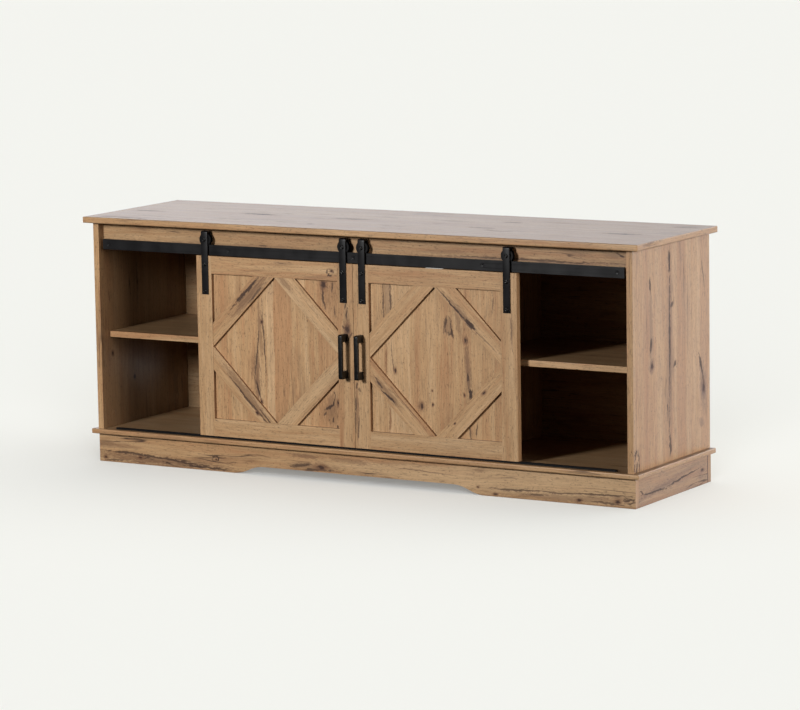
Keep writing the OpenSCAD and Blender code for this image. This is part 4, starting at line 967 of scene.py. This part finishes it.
def cams():
    """Cast cams, flush in the boards, with a cross recess and a sunken face. A stick-on foil disc
    in the decor of its board covers each."""
    low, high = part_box("cam_locks")
    bm = bmesh.new()
    rows = (("left_side_panel", 1, 1), ("left_divider", 0, -1),
            ("right_divider", 1, 1), ("right_side_panel", 0, -1))
    for board, corner, way in rows:
        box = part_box(board)
        face = box[corner].x
        front = low.y + CAM_R if "panel" in board else box[0].y + CAM_SETBACK
        caps = bmesh.new()
        for y in (front, high.y - CAM_R):
            for z in (low.z + CAM_R, high.z - CAM_R):
                rings = [(0.8 * MM, -3.4 * MM, "cross"), (4.2 * MM, -2.2 * MM, "cross"),
                         (4.4 * MM, -0.7 * MM, "cross"), (6.2 * MM, -0.7 * MM),
                         (6.5 * MM, -0.2 * MM), (CAM_R - 0.2 * MM, -0.2 * MM),
                         (CAM_R, -0.4 * MM), (CAM_R, -CAM_DEEP + 0.4 * MM),
                         (CAM_R - 0.4 * MM, -CAM_DEEP)]
                turned(bm, (face, y, z), (way, 0, 0), rings, 48)
                disc = [(CAP_R, 0.0), (CAP_R, 0.15 * MM), (CAP_R - 0.3 * MM, 0.3 * MM)]
                turned(caps, (face, y, z), (way, 0, 0), disc, 48)
        new_piece(f"{board}_cam_caps", caps, NODES[board].data.materials[0], "cabinet")
    new_piece("cams_cast", bm, ZINC, "cabinet", ("cam_locks",))


def centre_foot():
    """A moulded screw-in foot under the crossbar."""
    low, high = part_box("centre_foot")
    r = (high.x - low.x) / 2
    rings = [(r - 4 * MM, 0.0), (r - 1.2 * MM, 0.0), (r, 1.2 * MM),
             (r, 5.5 * MM), (r - 1.5 * MM, 7.2 * MM), (9 * MM, 8 * MM),
             (7 * MM, 8 * MM, "hex"), (7 * MM, 14 * MM, "hex"), (4 * MM, 14 * MM),
             (4 * MM, high.z - low.z - 1 * MM), (3 * MM, high.z - low.z)]
    bm = bmesh.new()
    turned(bm, ((low.x + high.x) / 2, (low.y + high.y) / 2, low.z), Z, rings, 48)
    new_piece("centre_foot_moulded", bm, NYLON, "cabinet", ("centre_foot",))


def lift_pad():
    """A strip of felt along the right door's top edge, pressed thin at its rim."""
    low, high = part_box("right_door_lift_pad")
    bm = bmesh.new()
    outline = [(low.y, low.z), (low.y, high.z), (high.y, high.z), (high.y, low.z)]
    bar(bm, outline, low.x, high.x, 0.35 * MM, 3)
    new_piece("right_door_lift_pad_felt", bm, FELT, "right_door",
              ("right_door_lift_pad",))


track_bolts()
for door in ("left_door", "right_door"):
    strap_xs = []
    for place in ("outer", "inner"):
        low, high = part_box(f"{door}_{place}_strap")
        strap_xs.append((low.x + high.x) / 2)
        strap(door, place)
        wheel(door, place)
    door_bolts(door, strap_xs)
    handle(door)
    handle_screws(door)
    guide_pins(door)
shelf_pins()
cams()
centre_foot()
lift_pad()

# ---------------------------------------------------------------- floor, world and lights
BACKDROP = "#F4F4EF"
FLOOR_PAPER = "#F1F3F1"
FLOOR_GLOW = 0.25
FLOOR_REACH = 60.0           # metres each way, so that its edge is never seen
WALL_WAY = (-0.5, 0.87, 0)   # from the cabinet towards the bright wall that gloss mirrors
LEFT_WAY = (-0.95, 0.31, 0)  # towards that wall's left part


def studio_floor():
    """A pale seamless floor. It takes soft shadows and has a faint glow of its own, and neither
    its bounce nor its mirror image reaches the cabinet."""
    bm = bmesh.new()
    corners = [bm.verts.new((x * FLOOR_REACH, y * FLOOR_REACH, FLOOR_Z))
               for x, y in ((-1, -1), (1, -1), (1, 1), (-1, 1))]
    bm.faces.new(corners)
    mesh = bpy.data.meshes.new("studio_floor")
    bm.to_mesh(mesh)
    bm.free()
    floor = bpy.data.objects.new("studio_floor", mesh)
    bpy.context.scene.collection.objects.link(floor)
    material, tree = start_material("matt_paper_backdrop")
    paper = add(tree, "ShaderNodeBsdfDiffuse", {"Color": linear(FLOOR_PAPER)})
    glow = add(tree, "ShaderNodeEmission", {"Color": linear(BACKDROP), "Strength": 1.0})
    shader = add(tree, "ShaderNodeMixShader", {0: FLOOR_GLOW, 1: paper, 2: glow})
    add(tree, "ShaderNodeOutputMaterial", {"Surface": shader})
    mesh.materials.append(material)
    floor.visible_diffuse = False
    floor.visible_glossy = False
    return floor


def sun(name, azimuth, elevation, strength, spread, colour, receivers):
    """A soft lamp from a direction: azimuth 0 is in front (-Y), 90 is at the right (+X)."""
    lamp = bpy.data.lights.new(name, "SUN")
    lamp.energy = strength
    lamp.angle = math.radians(spread)
    lamp.color = linear(colour)[:3]
    obj = bpy.data.objects.new(name, lamp)
    a, e = math.radians(azimuth), math.radians(elevation)
    source = Vector((math.sin(a) * math.cos(e), -math.cos(a) * math.cos(e), math.sin(e)))
    obj.rotation_mode = "QUATERNION"
    obj.rotation_quaternion = source.to_track_quat("Z", "Y")
    bpy.context.scene.collection.objects.link(obj)
    obj.light_linking.receiver_collection = receivers


def softbox(name, at, aim, size, power, receivers):
    """A square softbox, turned to what it lights."""
    lamp = bpy.data.lights.new(name, "AREA")
    lamp.shape = "SQUARE"
    lamp.size = size
    lamp.energy = power
    obj = bpy.data.objects.new(name, lamp)
    obj.location = at
    obj.rotation_mode = "QUATERNION"
    obj.rotation_quaternion = (at - aim).to_track_quat("Z", "Y")
    bpy.context.scene.collection.objects.link(obj)
    obj.light_linking.receiver_collection = receivers


def studio():
    """Lights for the cabinet, separate ones for the floor, and the room round them."""
    floor = studio_floor()
    floor_only = bpy.data.collections.new("floor_only")
    floor_only.objects.link(floor)
    no_floor = bpy.data.collections.new("all_but_floor")
    no_floor.objects.link(floor)
    no_floor.collection_objects[0].light_linking.link_state = "EXCLUDE"
    softbox("key", Vector((-0.85, -4.0, 1.70)), Vector((-0.1, -0.18, 0.30)), 0.7, 140, no_floor)
    sun("right_fill", 84, 7, 3.0, 40, "#FFF3EC", no_floor)
    sun("rear_fill", 172, 12, 1.7, 50, "#FFFFFF", no_floor)
    sun("left_fill", -112, 9, 1.2, 40, "#FFFFFF", no_floor)
    sun("floor_soft", 150, 74, 2.16, 95, "#FFFCF5", floor_only)
    sun("floor_front", 29, 19, 3.05, 40, "#FAFBFF", floor_only)

    world = bpy.data.worlds.new("studio")
    bpy.context.scene.world = world
    world.use_nodes = True
    tree = world.node_tree
    tree.nodes.clear()
    way = tree.nodes.new("ShaderNodeTexCoord").outputs["Generated"]
    # what gloss mirrors: a low wall behind the cabinet, brightest at its left part
    behind = add(tree, VECTOR, {0: way, 1: WALL_WAY}, DOT_OUT, operation="DOT_PRODUCT")
    height = add(tree, VECTOR, {0: way, 1: (0, 0, 1)}, DOT_OUT, operation="DOT_PRODUCT")
    wall = add(tree, RANGE, {0: behind, 1: 0.2, 2: 1.0, 3: 0.08, 4: 2.9}, **SMOOTH)
    low_part = add(tree, RANGE, {0: height, 1: 0.70, 2: 0.35, 3: 0.12, 4: 1.0}, **SMOOTH)
    aside = add(tree, VECTOR, {0: way, 1: LEFT_WAY}, DOT_OUT, operation="DOT_PRODUCT")
    fading = add(tree, RANGE, {0: aside, 1: 0.69, 2: 0.76, 3: 0.72, 4: 1.03})
    gloss = add(tree, MATH, {0: wall, 1: low_part}, operation="MULTIPLY")
    gloss = add(tree, MATH, {0: gloss, 1: fading}, operation="MULTIPLY")
    # what lights matt faces: a dim room
    room = add(tree, RANGE, {0: behind, 1: -0.5, 2: 0.5, 3: 0.03, 4: 0.10})
    mirrored = add(tree, "ShaderNodeBackground", {"Color": linear("#F7F6FA"), "Strength": gloss})
    ambient = add(tree, "ShaderNodeBackground", {"Color": linear("#FFFFFF"), "Strength": room})
    shown = add(tree, "ShaderNodeBackground", {"Color": linear(BACKDROP), "Strength": 1.0})
    path = tree.nodes.new("ShaderNodeLightPath").outputs
    unseen = add(tree, "ShaderNodeMixShader", {0: path["Is Glossy Ray"], 1: ambient, 2: mirrored})
    both = add(tree, "ShaderNodeMixShader", {0: path["Is Camera Ray"], 1: unseen, 2: shown})
    add(tree, "ShaderNodeOutputWorld", {"Surface": both})
    bpy.context.scene.view_settings.view_transform = "Standard"


studio()
